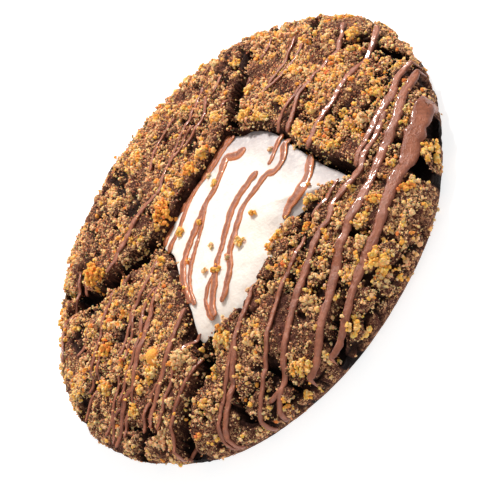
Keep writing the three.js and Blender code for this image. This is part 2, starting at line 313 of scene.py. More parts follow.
def in_fixed_order(mesh: bpy.types.Mesh) -> None:
    """Lists a mesh's faces in the order of their vertices, because a spin leaves them in a chance order.

    Args:
        mesh: The mesh, which is changed.
    """
    points = [tuple(vert.co) for vert in mesh.vertices]
    faces = [tuple(face.vertices) for face in mesh.polygons]
    starts = [face.index(min(face)) for face in faces]
    ordered = sorted(face[start:] + face[:start] for face, start in zip(faces, starts))
    mesh.clear_geometry()
    mesh.from_pydata(points, [], ordered)
    mesh.update()


def spun_skin(rows: int, around: int) -> bpy.types.Mesh:
    """Spins a closed skin of rings, to be drawn over a shape.

    Args:
        rows: Count of rings, with the first and the last one shrunk to a point.
        around: Count of vertices on a ring.

    Returns:
        A mesh whose vertices lie at radius 1, or 0 at both ends, and each at the height of its ring's number.
    """
    skin = bmesh.new()
    chain = [skin.verts.new((0 if row in (0, rows - 1) else 1, 0, row)) for row in range(rows)]
    edges = [skin.edges.new(pair) for pair in zip(chain, chain[1:])]
    bmesh.ops.spin(
        skin,
        geom=chain + edges,
        cent=(0, 0, 0),
        axis=(0, 0, 1),
        angle=math.tau,
        steps=around,
        use_merge=True,
    )
    poles = [vert for vert in skin.verts if vert.co.xy.length < 0.5]
    bmesh.ops.remove_doubles(skin, verts=poles, dist=0.01)
    bmesh.ops.recalc_face_normals(skin, faces=skin.faces)
    mesh = bpy.data.meshes.new("skin")
    skin.to_mesh(mesh)
    skin.free()
    in_fixed_order(mesh)
    return mesh


def rings_of(skin: bpy.types.Mesh) -> tuple[np.ndarray, np.ndarray]:
    """Reads where on a spun skin each vertex lies, before it is drawn over a shape.

    Args:
        skin: A mesh from spun_skin.

    Returns:
        Each vertex's ring number, and its angle in plan.
    """
    places = read_points(skin) * MM
    return np.rint(places[:, 2]).astype(int), np.arctan2(places[:, 1], places[:, 0])


def face_outwards(mesh: bpy.types.Mesh) -> None:
    """Turns every face of a closed mesh to point out.

    Args:
        mesh: The mesh, which is changed.
    """
    work = bmesh.new()
    work.from_mesh(mesh)
    bmesh.ops.recalc_face_normals(work, faces=work.faces)
    work.to_mesh(mesh)
    work.free()


# ---- The cookie's form ----------------------------------------------------------------------


@dataclass(frozen=True)
class CookieForm:
    """The smooth outer shape of the cookie, in millimetres."""

    radius: float
    crown_height: float = 17.0
    waist_height: float = 5.5
    base_share: float = 0.93
    dome_power: float = 3.0
    dome_rounding: float = 1.6

    @staticmethod
    def rim_share(angle: np.ndarray) -> np.ndarray:
        """Makes the rim slightly uneven.

        Args:
            angle: Directions in plan.

        Returns:
            The rim's distance from the centre, with 1 for a true circle.
        """
        broad = 0.006 * np.sin(2 * angle + 0.6)
        fine = 0.004 * np.sin(6 * angle + 2.1) + 0.003 * np.sin(10 * angle)
        return 1 + broad + fine

    @staticmethod
    def swell(x: np.ndarray, y: np.ndarray) -> np.ndarray:
        """Gentle swells left by the dough as it spread."""
        return 0.45 * np.sin(x / 7.3 + 1.3) * np.sin(y / 6.1 + 0.4) + 0.3 * np.sin(x / 3.9 + y / 5.2)

    def dome(self, x: np.ndarray, y: np.ndarray) -> np.ndarray:
        """Shapes the domed top, before cracks and opening.

        Args:
            x: Places in plan.
            y: Places in plan.

        Returns:
            The height at each place, in millimetres.
        """
        share = np.hypot(x, y) / (self.radius * self.rim_share(np.arctan2(y, x)))
        fall = (1 - np.clip(share, 0, 1) ** self.dome_power) ** (1 / self.dome_rounding)
        return self.waist_height + (self.crown_height - self.waist_height + self.swell(x, y)) * fall

    @classmethod
    def from_frame(cls) -> "CookieForm":
        """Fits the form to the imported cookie.

        Returns:
            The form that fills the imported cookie's own width.
        """
        low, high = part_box("cookie")
        half_width = (high.x - low.x) / 2 / MM
        return cls(radius=half_width / float(cls.rim_share(np.zeros(1))[0]))


@dataclass(frozen=True)
class LipCorner:
    """A corner of the opening's lip, the gap left there and the height of the marshmallow's border there."""

    x: float
    y: float
    gap: float
    border: float


@dataclass(frozen=True)
class Opening:
    """The opening that the filling shows in: its lip, and the marshmallow's border inside it."""

    centre: tuple[float, float] = (0.0, -5.0)
    floor_height: float = 4.6
    lip: tuple[LipCorner, ...] = (
        LipCorner(22.9, -5, 0.8, 13.6), LipCorner(22.7, 1, 0.6, 13.6), LipCorner(21, 6.5, 0.6, 13.4),
        LipCorner(18.8, 9.5, 0.8, 13.2), LipCorner(17, 13, 0.9, 13.2), LipCorner(12.5, 12.5, 0.5, 14.3),
        LipCorner(6.5, 11.6, 0.5, 14.8), LipCorner(0, 11, 0.5, 14.8), LipCorner(-7, 10.4, 0.5, 14.7),
        LipCorner(-12.5, 9, 0.6, 14.2), LipCorner(-13, 3, 0.5, 14.6), LipCorner(-16.5, -5.5, 0.5, 15.3),
        LipCorner(-20, -14, 0.6, 15.0), LipCorner(-25.8, -22, 2.4, 12.0), LipCorner(-19.5, -25, 1.0, 11.8),
        LipCorner(-11, -27, 0.6, 12.0), LipCorner(-2, -26.5, 0.6, 12.4), LipCorner(3.5, -24, 0.6, 12.8),
        LipCorner(9, -25, 0.6, 12.8), LipCorner(16, -26, 0.7, 12.6), LipCorner(21.5, -30.5, 1.4, 11.9),
        LipCorner(25.6, -32.8, 4.4, 11.2), LipCorner(25.3, -27.5, 3.6, 11.4), LipCorner(23.6, -20, 1.9, 12.2),
        LipCorner(22.8, -13, 0.9, 13.2),
    )

    def _ring(self, gap_share: float) -> np.ndarray:
        """Draws the lip, or the marshmallow's border.

        Args:
            gap_share: 0 for the lip, 1 for the border.

        Returns:
            Angle, distance from the centre and border height of each point, in order of angle.
        """
        corners = [(*self._drawn_in(corner, gap_share), corner.border) for corner in self.lip]
        ring = flowing(corners, 0.3, closed=True)[:-1]
        offset = ring[:, :2] - np.array(self.centre)
        turn = np.arctan2(offset[:, 1], offset[:, 0])
        return np.column_stack([turn, np.hypot(*offset.T), ring[:, 2]])[turn.argsort()]

    def reach(self, angle: np.ndarray, gap_share: float) -> np.ndarray:
        """Distance from the centre to the lip, or to the marshmallow's border.

        Args:
            angle: Directions in plan.
            gap_share: 0 for the lip, 1 for the marshmallow's border.

        Returns:
            The distance in each direction, in millimetres.
        """
        ring = self._ring(gap_share)
        return np.interp(angle, ring[:, 0], ring[:, 1], period=math.tau)

    def border_height(self, angle: np.ndarray) -> np.ndarray:
        """Height of the marshmallow's border in each direction, in millimetres."""
        ring = self._ring(1)
        return np.interp(angle, ring[:, 0], ring[:, 2], period=math.tau)

    def share(self, x: np.ndarray, y: np.ndarray, gap_share: float) -> np.ndarray:
        """How far places lie from the centre, with 1 on the lip (gap_share 0) or on the border (1)."""
        away_x, away_y = x - self.centre[0], y - self.centre[1]
        return np.hypot(away_x, away_y) / self.reach(np.arctan2(away_y, away_x), gap_share)

    def _drawn_in(self, corner: LipCorner, gap_share: float) -> tuple[float, float]:
        """Moves a corner towards the centre.

        Args:
            corner: The corner of the lip.
            gap_share: How much of the corner's gap it moves by.

        Returns:
            Its new place in plan.
        """
        away_x, away_y = corner.x - self.centre[0], corner.y - self.centre[1]
        inward = 1 - corner.gap * gap_share / math.hypot(away_x, away_y)
        return self.centre[0] + away_x * inward, self.centre[1] + away_y * inward


@dataclass(frozen=True)
class Crack:
    """A split in the crust: its route in plan, its widths along it and its depth, in millimetres."""

    route: Route
    widths: tuple[float, ...]
    depth: float
    least_half: float = 0.15
    least_depth_share: float = 0.35

    def depth_at(self, places: np.ndarray, seed: int) -> np.ndarray:
        """How deep the crack is at places in plan.

        Args:
            places: Plan places, shape (n, 2).
            seed: Makes each crack ragged in its own way.

        Returns:
            The depth in millimetres, 0 outside the crack.
        """
        route = flowing(self.route, 0.4)
        depth = np.zeros(len(places))
        margin = max(self.widths)
        low, high = route.min(axis=0) - margin, route.max(axis=0) + margin
        near = np.flatnonzero(((places > low) & (places < high)).all(axis=1))
        if len(near) == 0:
            return depth
        apart, index = distance_to(places[near], route)
        share = index / (len(route) - 1)
        width = np.interp(share, np.linspace(0, 1, len(self.widths)), self.widths)
        flat = np.column_stack([places[near], np.full(len(near), seed * 7.0)])
        ragged = 1 + 0.3 * rough(flat, 3.0, seed) + 0.2 * ripple(flat, 1.1, seed + 9)
        half = np.maximum(width / 2 * ragged, self.least_half)
        steep = 1 - eased(0.78, 1.04, apart / half)
        narrowing = np.clip(width / max(self.widths), self.least_depth_share, 1) ** 0.5
        depth[near] = self.depth * narrowing * steep
        return depth


CRACKS = (
    Crack(((-11, 9), (-17, 12), (-24, 15), (-30.5, 19.5), (-37, 27.5)), (5.6, 6.2, 5.6, 5.4, 3.6), 9),
    Crack(((-28, 18), (-31.5, 25), (-34, 33), (-35, 40)), (2.4, 2.6, 2.2, 1.6), 3.5),
    Crack(
        ((12, 7), (17, 10.8), (21, 13.7), (27, 19), (31, 23), (35, 26.5)),
        (4.6, 4.8, 4.8, 4.4, 3.2, 3.0),
        8,
    ),
    Crack(
        ((-22, -21), (-25.5, -26.5), (-30, -28), (-36.5, -28), (-41.5, -29.6), (-44.5, -32)),
        (7.5, 6.6, 4.6, 2.6, 4.4, 5.0),
        7,
    ),
    Crack(((-42, 1), (-47.5, 3.5), (-50.5, 5.5), (-53.5, 6.5)), (1.2, 2.4, 4.5, 5.5), 4),
    Crack(((-41, -17.6), (-46, -19), (-51.5, -17.5)), (1.6, 2.6, 2.2), 3.5),
    Crack(((-27, -37), (-29.5, -40), (-31.2, -42.5), (-30.2, -44.5)), (1.4, 2, 1.8, 1.4), 3.5),
    Crack(((-20, -41.5), (-19.4, -45), (-20, -50)), (1.4, 2, 1.6), 3.5),
    Crack(((1, -49), (-3, -49.7), (-6.5, -52.2), (-10, -53.6)), (2.2, 3, 3, 2.4), 4),
    Crack(((10.5, -39.6), (12.5, -41), (15, -44.5)), (1.8, 2.4, 1.6), 3.5),
    Crack(((34.2, -37.4), (32.4, -40.7), (32, -43.5), (33, -46)), (3.2, 4.4, 3.4, 2.4), 5),
    Crack(((39.5, -36.3), (42, -34.5), (45, -34.2)), (2.2, 3, 2), 4),
    Crack(((50.3, -7), (50.7, -12), (51.6, -15.5)), (1.4, 2.2, 1.6), 3),
    Crack(((45.8, 0), (48.5, -2), (51, -4)), (2, 3, 2.2), 4),
    Crack(((49, 18), (46, 12), (43, 8.7)), (2.4, 2.4, 1.4), 4),
    Crack(((33, -32.4), (35.5, -34.6)), (1.8, 2.2), 3),
    Crack(((-38, -19.3), (-35, -19.9)), (1.2, 1.4), 2.5),
    Crack(((-49, -12), (-47, -15)), (1.4, 1.8), 2.5),
    Crack(((-35.2, -32), (-36.6, -34.4)), (1.3, 1.5), 2.5),
)


# ---- Finishes -------------------------------------------------------------------------------


def linear(red: int, green: int, blue: int) -> tuple[float, float, float, float]:
    """Turns a colour as seen on a screen into the linear one that a shader takes.

    Args:
        red: Its red, 0 to 255.
        green: Its green, 0 to 255.
        blue: Its blue, 0 to 255.

    Returns:
        The linear colour, opaque.
    """

    def straight(value: int) -> float:
        """One channel, from 0 to 255, as a linear share."""
        share = value / 255
        return share / 12.92 if share <= 0.04045 else ((share + 0.055) / 1.055) ** 2.4

    return (straight(red), straight(green), straight(blue), 1.0)


class NodeBoard:
    """Places and links the nodes of one shader tree."""

    def __init__(self, tree: bpy.types.NodeTree) -> None:
        """Keeps the tree."""
        self.tree = tree

    def add(self, kind: str, **values: object) -> bpy.types.Node:
        """Adds a node.

        Args:
            kind: The node's type name.
            values: Settings of the node, or values of its input sockets with underscores for blanks.

        Returns:
            The new node.
        """
        node = self.tree.nodes.new(kind)
        for name, value in values.items():
            if hasattr(node, name):
                setattr(node, name, value)
            else:
                node.inputs[name.replace("_", " ")].default_value = value
        return node

    def link(self, source: bpy.types.NodeSocket, target: bpy.types.NodeSocket) -> None:
        """Joins an output to an input."""
        self.tree.links.new(source, target)


def effect_tree(name: str, inputs: Sequence[str], output: str) -> bpy.types.NodeTree:
    """Starts a node group for an effect that several materials share.

    Args:
        name: The group's name.
        inputs: Names of its inputs, all plain numbers.
        output: Name of its output, a plain number too.

    Returns:
        The group, still without nodes.
    """
    tree = bpy.data.node_groups.new(name, "ShaderNodeTree")
    for socket in inputs:
        tree.interface.new_socket(socket, in_out="INPUT", socket_type="NodeSocketFloat")
    tree.interface.new_socket(output, in_out="OUTPUT", socket_type="NodeSocketFloat")
    return tree


def mottle_group() -> bpy.types.NodeTree:
    """Builds a shared effect once: soft clouds of two sizes that move a mask between 0 and 1.

    Returns:
        The node group.
    """
    name = "Mottle"
    if name in bpy.data.node_groups:
        return bpy.data.node_groups[name]
    tree = effect_tree(name, ("Coarse Scale", "Fine Scale", "Low", "High"), "Mask")
    board = NodeBoard(tree)
    entry = board.add("NodeGroupInput")
    leave = board.add("NodeGroupOutput")
    place = board.add("ShaderNodeTexCoord")
    coarse = board.add("ShaderNodeTexNoise", Detail=4.0, Roughness=0.6)
    fine = board.add("ShaderNodeTexNoise", Detail=3.0, Roughness=0.65)
    blend = board.add("ShaderNodeMix", data_type="FLOAT")
    spread = board.add("ShaderNodeMapRange", interpolation_type="SMOOTHSTEP")
    blend.inputs["Factor"].default_value = 0.45
    for noise, scale in ((coarse, "Coarse Scale"), (fine, "Fine Scale")):
        board.link(place.outputs["Object"], noise.inputs["Vector"])
        board.link(entry.outputs[scale], noise.inputs["Scale"])
    board.link(coarse.outputs["Fac"], blend.inputs["A"])
    board.link(fine.outputs["Fac"], blend.inputs["B"])
    board.link(blend.outputs["Result"], spread.inputs["Value"])
    board.link(entry.outputs["Low"], spread.inputs["From Min"])
    board.link(entry.outputs["High"], spread.inputs["From Max"])
    board.link(spread.outputs["Result"], leave.inputs["Mask"])
    return tree


def relief_group() -> bpy.types.NodeTree:
    """Builds a shared effect once: the height of a crumbly surface, from grains and pores.

    Returns:
        The node group.
    """
    name = "Crumbly Relief"
    if name in bpy.data.node_groups:
        return bpy.data.node_groups[name]
    tree = effect_tree(name, ("Grain Scale", "Pore Scale", "Pore Share"), "Height")
    board = NodeBoard(tree)
    entry = board.add("NodeGroupInput")
    leave = board.add("NodeGroupOutput")
    place = board.add("ShaderNodeTexCoord")
    grain = board.add("ShaderNodeTexNoise", Detail=5.0, Roughness=0.7)
    pores = board.add("ShaderNodeTexVoronoi")
    blend = board.add("ShaderNodeMix", data_type="FLOAT")
    board.link(place.outputs["Object"], grain.inputs["Vector"])
    board.link(place.outputs["Object"], pores.inputs["Vector"])
    board.link(entry.outputs["Grain Scale"], grain.inputs["Scale"])
    board.link(entry.outputs["Pore Scale"], pores.inputs["Scale"])
    board.link(entry.outputs["Pore Share"], blend.inputs["Factor"])
    board.link(grain.outputs["Fac"], blend.inputs["A"])
    board.link(pores.outputs["Distance"], blend.inputs["B"])
    board.link(blend.outputs["Result"], leave.inputs["Height"])
    return tree


class Finish:
    """A material under construction: one principled shader with the shared effects that feed it."""

    def __init__(self, name: str) -> None:
        """Starts an empty material.

        Args:
            name: The material's name.
        """
        self.material = bpy.data.materials.new(name)
        self.material.use_nodes = True
        tree = self.material.node_tree
        tree.nodes.clear()
        self.board = NodeBoard(tree)
        self.shader = self.board.add("ShaderNodeBsdfPrincipled")
        output = self.board.add("ShaderNodeOutputMaterial")
        self.board.link(self.shader.outputs["BSDF"], output.inputs["Surface"])

    def set(self, **values: object) -> None:
        """Sets sockets of the shader, with underscores for blanks."""
        for name, value in values.items():
            self.shader.inputs[name.replace("_", " ")].default_value = value

    def mask(self, coarse: float, fine: float, low: float, high: float) -> bpy.types.NodeSocket:
        """Adds the mottle effect.

        Args:
            coarse: Scale of the broad clouds, per metre.
            fine: Scale of the small clouds, per metre.
            low: Noise value where the mask begins.
            high: Noise value where the mask is full.

        Returns:
            The mask's socket.
        """
        node = self.board.add("ShaderNodeGroup", node_tree=mottle_group())
        values = (("Coarse Scale", coarse), ("Fine Scale", fine), ("Low", low), ("High", high))
        for name, value in values:
            node.inputs[name].default_value = value
        return node.outputs["Mask"]

    def attribute(self, name: str) -> bpy.types.NodeSocket:
        """Reads one of the mesh's own numbers."""
        return self.board.add("ShaderNodeAttribute", attribute_name=name).outputs["Fac"]

    def times(self, first: bpy.types.NodeSocket, second: bpy.types.NodeSocket) -> bpy.types.NodeSocket:
        """Multiplies two masks.

        Args:
            first: One mask.
            second: The other.

        Returns:
            The socket of the product.
        """
        node = self.board.add("ShaderNodeMath", operation="MULTIPLY")
        self.board.link(first, node.inputs[0])
        self.board.link(second, node.inputs[1])
        return node.outputs["Value"]

    def mix(self, mask: bpy.types.NodeSocket, first: object, second: object) -> bpy.types.NodeSocket:
        """Mixes two colours by a mask.

        Args:
            mask: 0 for the first colour, 1 for the second.
            first: A colour, or the socket of one.
            second: A colour, or the socket of one.

        Returns:
            The socket of the mixed colour.
        """
        node = self.board.add("ShaderNodeMix", data_type="RGBA")
        self.board.link(mask, node.inputs["Factor"])
        colour_a, colour_b = node.inputs[6], node.inputs[7]
        for socket, colour in ((colour_a, first), (colour_b, second)):
            if isinstance(colour, bpy.types.NodeSocket):
                self.board.link(colour, socket)
            else:
                socket.default_value = colour
        return node.outputs[2]

    def colour(self, socket: bpy.types.NodeSocket) -> None:
        """Feeds the shader's colour."""
        self.board.link(socket, self.shader.inputs["Base Color"])

    def relief(self, grain: float, pore: float, pore_share: float, depth: float, strength: float) -> None:
        """Adds the crumbly relief as bump.

        Args:
            grain: Scale of the grains, per metre.
            pore: Scale of the pores, per metre.
            pore_share: Share of the height that the pores make.
            depth: Height of the relief in metres.
            strength: Strength of the bump.
        """
        node = self.board.add("ShaderNodeGroup", node_tree=relief_group())
        values = (("Grain Scale", grain), ("Pore Scale", pore), ("Pore Share", pore_share))
        for name, value in values:
            node.inputs[name].default_value = value
        bump = self.board.add("ShaderNodeBump", Strength=strength, Distance=depth)
        self.board.link(node.outputs["Height"], bump.inputs["Height"])
        self.board.link(bump.outputs["Normal"], self.shader.inputs["Normal"])


@dataclass(frozen=True)
class DoughFinish:
    """Dark chocolate dough, dusted with fine pale crumb on its heights, with painted shade that makes it near
    black in its cracks, pits and the opening's wall.
    """

    # Near-black colour of the painted shade in cracks, pits and the opening's wall.
    hollow: Screen = (20, 6, 3)
    deep: Screen = (60, 28, 20)
    crust: Screen = (106, 60, 48)
    dust: Screen = (204, 150, 110)

    def make(self) -> bpy.types.Material:
        """Builds the material.

        Returns:
            The material.
        """
        finish = Finish("dark_dough")
        finish.set(Roughness=0.75, Specular_IOR_Level=0.14)
        browned = finish.mask(coarse=300, fine=1700, low=0.36, high=0.66)
        crust = finish.mix(browned, linear(*self.deep), linear(*self.crust))
        spotted = finish.mask(coarse=1300, fine=4200, low=0.5, high=0.56)
        specks = finish.times(spotted, finish.attribute("dust"))
        dusted = finish.mix(specks, crust, linear(*self.dust))
        # Painted shade: near black where the attribute marks cracks, pits and the opening's wall.
        finish.colour(finish.mix(finish.attribute("hollow"), dusted, linear(*self.hollow)))
        finish.relief(grain=1900, pore=3200, pore_share=0.4, depth=0.0008, strength=1.0)
        return finish.material


@dataclass(frozen=True)
class CrumbFinish:
    """Biscuit crumb: each grain has its own tint, from brown through sand and gold to deep orange."""

    name: str
    tints: tuple[tuple[float, Screen], ...] = (
        (0.0, (112, 62, 38)),
        (0.18, (184, 120, 84)),
        (0.36, (230, 174, 126)),
        (0.54, (252, 202, 146)),
        (0.72, (255, 188, 84)),
        (0.86, (250, 158, 70)),
        (1.0, (214, 112, 60)),
    )
    toast: Screen = (192, 124, 60)

    def make(self) -> bpy.types.Material:
        """Builds the material.

        Returns:
            The material.
        """
        finish = Finish(self.name)
        finish.set(Roughness=0.7, Specular_IOR_Level=0.3, Subsurface_Weight=0.4, Subsurface_Scale=0.0009)
        ramp = finish.board.add("ShaderNodeValToRGB")
        stops = ramp.color_ramp.elements
        stops[0].position, stops[0].color = self.tints[0][0], linear(*self.tints[0][1])
        stops[1].position, stops[1].color = self.tints[-1][0], linear(*self.tints[-1][1])
        for share, colour in self.tints[1:-1]:
            stops.new(share).color = linear(*colour)
        finish.board.link(finish.attribute("tint"), ramp.inputs["Fac"])
        toasted = finish.mask(coarse=900, fine=2800, low=0.54, high=0.8)
        finish.colour(finish.mix(toasted, ramp.outputs["Color"], linear(*self.toast)))
        finish.relief(grain=3000, pore=5200, pore_share=0.4, depth=0.0004, strength=0.7)
        return finish.material


@dataclass(frozen=True)
class ChocolateFinish:
    """Set milk chocolate with a gloss, another colour along its thin edges than on its thick middle."""

    name: str
    thick: Screen
    thin: Screen
    dark: Screen

    def make(self) -> bpy.types.Material:
        """Builds the material.

        Returns:
            The material.
        """
        finish = Finish(self.name)
        finish.set(Roughness=0.42, Specular_IOR_Level=0.4, Subsurface_Weight=0.08, Subsurface_Scale=0.0005)
        finish.set(Coat_Weight=0.4, Coat_Roughness=0.11, Coat_IOR=1.46)
        clouded = finish.mask(coarse=260, fine=1000, low=0.4, high=0.7)
        body = finish.mix(clouded, linear(*self.thick), linear(*self.dark))
        finish.colour(finish.mix(finish.attribute("edge"), body, linear(*self.thin)))
        finish.relief(grain=1500, pore=1700, pore_share=0.2, depth=0.0004, strength=0.7)
        return finish.material


@dataclass(frozen=True)
class MarshmallowFinish:
    """Warm white marshmallow that light goes a little way into, with a painted shadow that greys it near its
    border on the +X side, where the lip's shade falls.
    """

    white: Screen = (231, 222, 213)
    shade: Screen = (220, 207, 195)
    # Grey of the painted shadow near the +X border.
    painted_shadow_grey: Screen = (172, 163, 162)

    def make(self) -> bpy.types.Material:
        """Builds the material.

        Returns:
            The material.
        """
        finish = Finish("marshmallow_white")
        finish.set(Roughness=0.5, Specular_IOR_Level=0.35, Subsurface_Weight=0.5, Subsurface_Scale=0.002)
        finish.shader.inputs["Subsurface Radius"].default_value = (1.0, 0.85, 0.75)
        clouded = finish.mask(coarse=90, fine=420, low=0.35, high=0.7)
        warm = finish.mix(clouded, linear(*self.white), linear(*self.shade))
        # Painted shadow: grey patches near the +X border stand for the shade of the lip.
        shadow_clouds = finish.mask(coarse=220, fine=800, low=0.24, high=0.52)
        patches = finish.times(shadow_clouds, finish.attribute("damp"))
        finish.colour(finish.mix(patches, warm, linear(*self.painted_shadow_grey)))
        finish.relief(grain=420, pore=1400, pore_share=0.2, depth=0.0006, strength=0.4)
        return finish.material


# ---- Dough ----------------------------------------------------------------------------------


@dataclass(frozen=True)
class Drift:
    """A patch where crumb lies thicker or thinner: its place, radius and how much more of it there is."""

    x: float
    y: float
    radius: float
    extra: float


DRIFTS = (
    Drift(-2, 27, 8, -0.7), Drift(-22, 30, 9, -0.35), Drift(-13, 12, 5, 0.6), Drift(11, -51, 9, 0.5),
    Drift(-50, 11, 7, 0.4), Drift(-29, -27, 6, -0.6), Drift(26, 22, 7, -0.2), Drift(-20, -10, 6, -0.4),
    Drift(-10, -40, 8, -0.4), Drift(16, -42, 8, -0.25), Drift(38, -30, 6, -0.3), Drift(-37, -12, 7, 0.3),
    Drift(30, -12, 6, 0.25), Drift(48, -8, 8, 0.2), Drift(-46, -8, 7, 0.3), Drift(40, 26, 9, 0.15),
)


def sandiness(points: np.ndarray) -> np.ndarray:
    """Tells how thickly fine crumb covers the dough.

    Args:
        points: Places in millimetres, shape (n, 3).

    Returns:
        One number for each place, about 1 where the crumb lies evenly.
    """
    thick = 1 + 0.55 * rough(points, 13.0, 81, 2) + 1.3 * rough(points, 3.6, 85, 3)
    for drift in DRIFTS:
        away = np.hypot(points[:, 0] - drift.x, points[:, 1] - drift.y)
        thick += drift.extra * (1 - eased(0.3, 1.2, away / drift.radius))
    return thick


@dataclass
class Dough:
    """The dark cookie itself: dome, opening, cracks and crags, as one closed skin."""

    form: CookieForm
    opening: Opening
    around: int = 720
    top_rows: int = 104
    side_rows: int = 11
    wall_rows: int = 9
    wall_curve: float = 1.6
    floor_share: float = 0.92
    lip_round: float = 0.9
    lip_rag: float = 0.35
    crag_height: float = 0.7
    knob_height: float = 0.32
    grit_height: float = 0.16
    crevice_depth: float = 1.7
    hole_depth: float = 1.1
    bare_crack_depth: float = 1.4
    pit_bareness: float = 0.8
    wall_bareness: float = 0.75
    # How dark the painted shade makes pits and the opening's wall.
    pit_painted_shade: float = 0.85
    wall_painted_shade: float = 0.55
    mesh: bpy.types.Mesh = field(init=False)
    bareness: np.ndarray = field(init=False)

    def build(self) -> bpy.types.Object:
        """Makes the dough's piece.

        Returns:
            The finished object.
        """
        wall_end = 1 + self.wall_rows
        top_end = wall_end + self.top_rows
        side_end = top_end + self.side_rows
        self.mesh = spun_skin(side_end + 2, self.around)
        row, angle = rings_of(self.mesh)
        lip = self._lip_points(angle)
        rim = self._rim_points(angle)
        points = np.zeros((len(row), 3))
        centre = np.array(self.opening.centre)

        # The wall of the opening, from its floor up to the lip.
        down = np.clip((wall_end - row) / self.wall_rows, 0, 1) ** self.wall_curve
        narrow = 1 - (1 - self.floor_share) * down
        lip_height = self.form.dome(lip[:, 0], lip[:, 1]) - self.lip_round
        wall = row <= wall_end
        points[wall, :2] = centre + (lip[wall] - centre) * narrow[wall, None]
        points[wall, 2] = (lip_height + (self.opening.floor_height - lip_height) * down)[wall]

        # The domed top, rounded over at the lip.
        out = np.clip((row - wall_end) / self.top_rows, 0, 1)
        share = 1 - (1 - out) ** self.form.dome_rounding
        top = (row > wall_end) & (row <= top_end)
        points[top, :2] = lip[top] + (rim[top] - lip[top]) * share[top, None]
        points[top, 2] = self.form.dome(points[top, 0], points[top, 1])
        from_lip = np.linalg.norm(points[:, :2] - lip, axis=1)
        points[top, 2] -= (self.lip_round * np.exp(-from_lip / (0.6 * self.lip_round)))[top]

        # The side, tucked in towards the underside.
        turn = np.clip((row - top_end) / self.side_rows, 0, 1) * math.pi / 2
        side = (row > top_end) & (row <= side_end)
        inward = self.form.base_share + (1 - self.form.base_share) * np.cos(turn)
        points[side, :2] = (rim * inward[:, None])[side]
        points[side, 2] = (self.form.waist_height * (1 - np.sin(turn)))[side]

        points[row == 0] = (*self.opening.centre, self.opening.floor_height)
        points[row == side_end + 1] = 0
        write_points(self.mesh, points)
        face_outwards(self.mesh)

        # Crags and pits stand square on the surface, and cracks go straight down.
        normals = read_normals(self.mesh)
        crack = np.max([c.depth_at(points[:, :2], n + 3) for n, c in enumerate(CRACKS)], axis=0)
        crack[~top & ~side] = 0
        stands = eased(0.3, 3.5, points[:, 2])
        pits = self._pits(points) * stands
        pits[row <= 1] = 0
        relief = self._crags(points) * stands
        relief[row <= 1] = 0
        points += normals * (relief - pits)[:, None]
        deepest = points[:, 2] - self.opening.floor_height
        points[:, 2] -= np.clip(crack, 0, np.maximum(deepest, 0))
        points[:, 2] = np.maximum(points[:, 2], 0)
        write_points(self.mesh, points)

        # Where no crumb sticks, where dust of crumb shows, and where painted shade makes the dough near
        # black: in cracks and pits, and on the opening's wall, darker towards its floor.
        in_opening = wall & (row < wall_end)
        bare_pits = self.pit_bareness * eased(0.35, 0.9, pits)
        self.bareness = np.clip(crack / self.bare_crack_depth + bare_pits, 0, 1)
        self.bareness[row > side_end] = 1
        self.bareness[top] = np.maximum(self.bareness, 1 - eased(0.3, 1.4, from_lip))[top]
        self.bareness[in_opening] = (self.wall_bareness + (1 - self.wall_bareness) * down)[in_opening]
        set_attribute(self.mesh, "dust", (1 - self.bareness) * np.clip(sandiness(points), 0.1, 1.0))
        hollow = np.maximum(eased(0.3, 1.8, crack), self.pit_painted_shade * eased(0.3, 1.1, pits))
        hollow[wall] = (self.wall_painted_shade + (1 - self.wall_painted_shade) * down)[wall]
        set_attribute(self.mesh, "hollow", hollow)
        return show("dough", self.mesh, DoughFinish().make())

    def _lip_points(self, angle: np.ndarray) -> np.ndarray:
        """Draws the ragged lip.

        Args:
            angle: Directions from the opening's centre.

        Returns:
            The lip's place in plan in each direction, shape (n, 2).
        """
        reach = self.opening.reach(angle, 0)
        loop = np.column_stack([np.cos(angle), np.sin(angle), np.zeros_like(angle)]) * reach[:, None]
        reach = reach + self.lip_rag * rough(loop, 3.0, 41) + 0.1
        return np.array(self.opening.centre) + loop[:, :2] * (reach / np.hypot(*loop[:, :2].T))[:, None]

    def _rim_points(self, angle: np.ndarray) -> np.ndarray:
        """Plan points of the rim, in each direction from the cookie's centre."""
        reach = self.form.radius * self.form.rim_share(angle)
        return np.column_stack([np.cos(angle), np.sin(angle)]) * reach[:, None]

    def _crags(self, points: np.ndarray) -> np.ndarray:
        """Raises the craggy crust.

        Args:
            points: Places in millimetres, shape (n, 3).

        Returns:
            Its height above the smooth form at each place, in millimetres.
        """
        crags = self.crag_height * rough(points, 5.0, 51, 5)
        knobs = self.knob_height * ripple(points, 1.15, 61)
        return crags + knobs + self.grit_height * ripple(points, 0.7, 63)

    def _pits(self, points: np.ndarray) -> np.ndarray:
        """Sinks the crevices between crags and the small holes among them.

        Args:
            points: Places in millimetres, shape (n, 3).

        Returns:
            Their depth at each place, in millimetres.
        """
        bent = points + 1.3 * np.column_stack([rough(points, 3.0, seed, 2) for seed in (11, 12, 13)])
        patchy = eased(-0.3, 0.45, ripple(points, 10.0, 31))
        crevices = self.crevice_depth * np.exp(-((crazing(bent, 6.0, 21) / 0.13) ** 2)) * patchy
        deep_enough = eased(0.34, 0.6, rough(points, 2.3, 35, 2))
        holes = self.hole_depth * deep_enough * eased(-0.5, 0.2, ripple(points, 14.0, 37))
        return np.maximum(crevices, holes)


# ---- Crumbs ---------------------------------------------------------------------------------


@dataclass(frozen=True)
class CrumbKind:
    """One size of loose crumb: its number, widths, tints and patchiness, and how many lie together."""

    name: str
    count: int
    widths: tuple[float, float]
    tints: tuple[float, float]
    patchiness: float
    subdivisions: int
    together: int


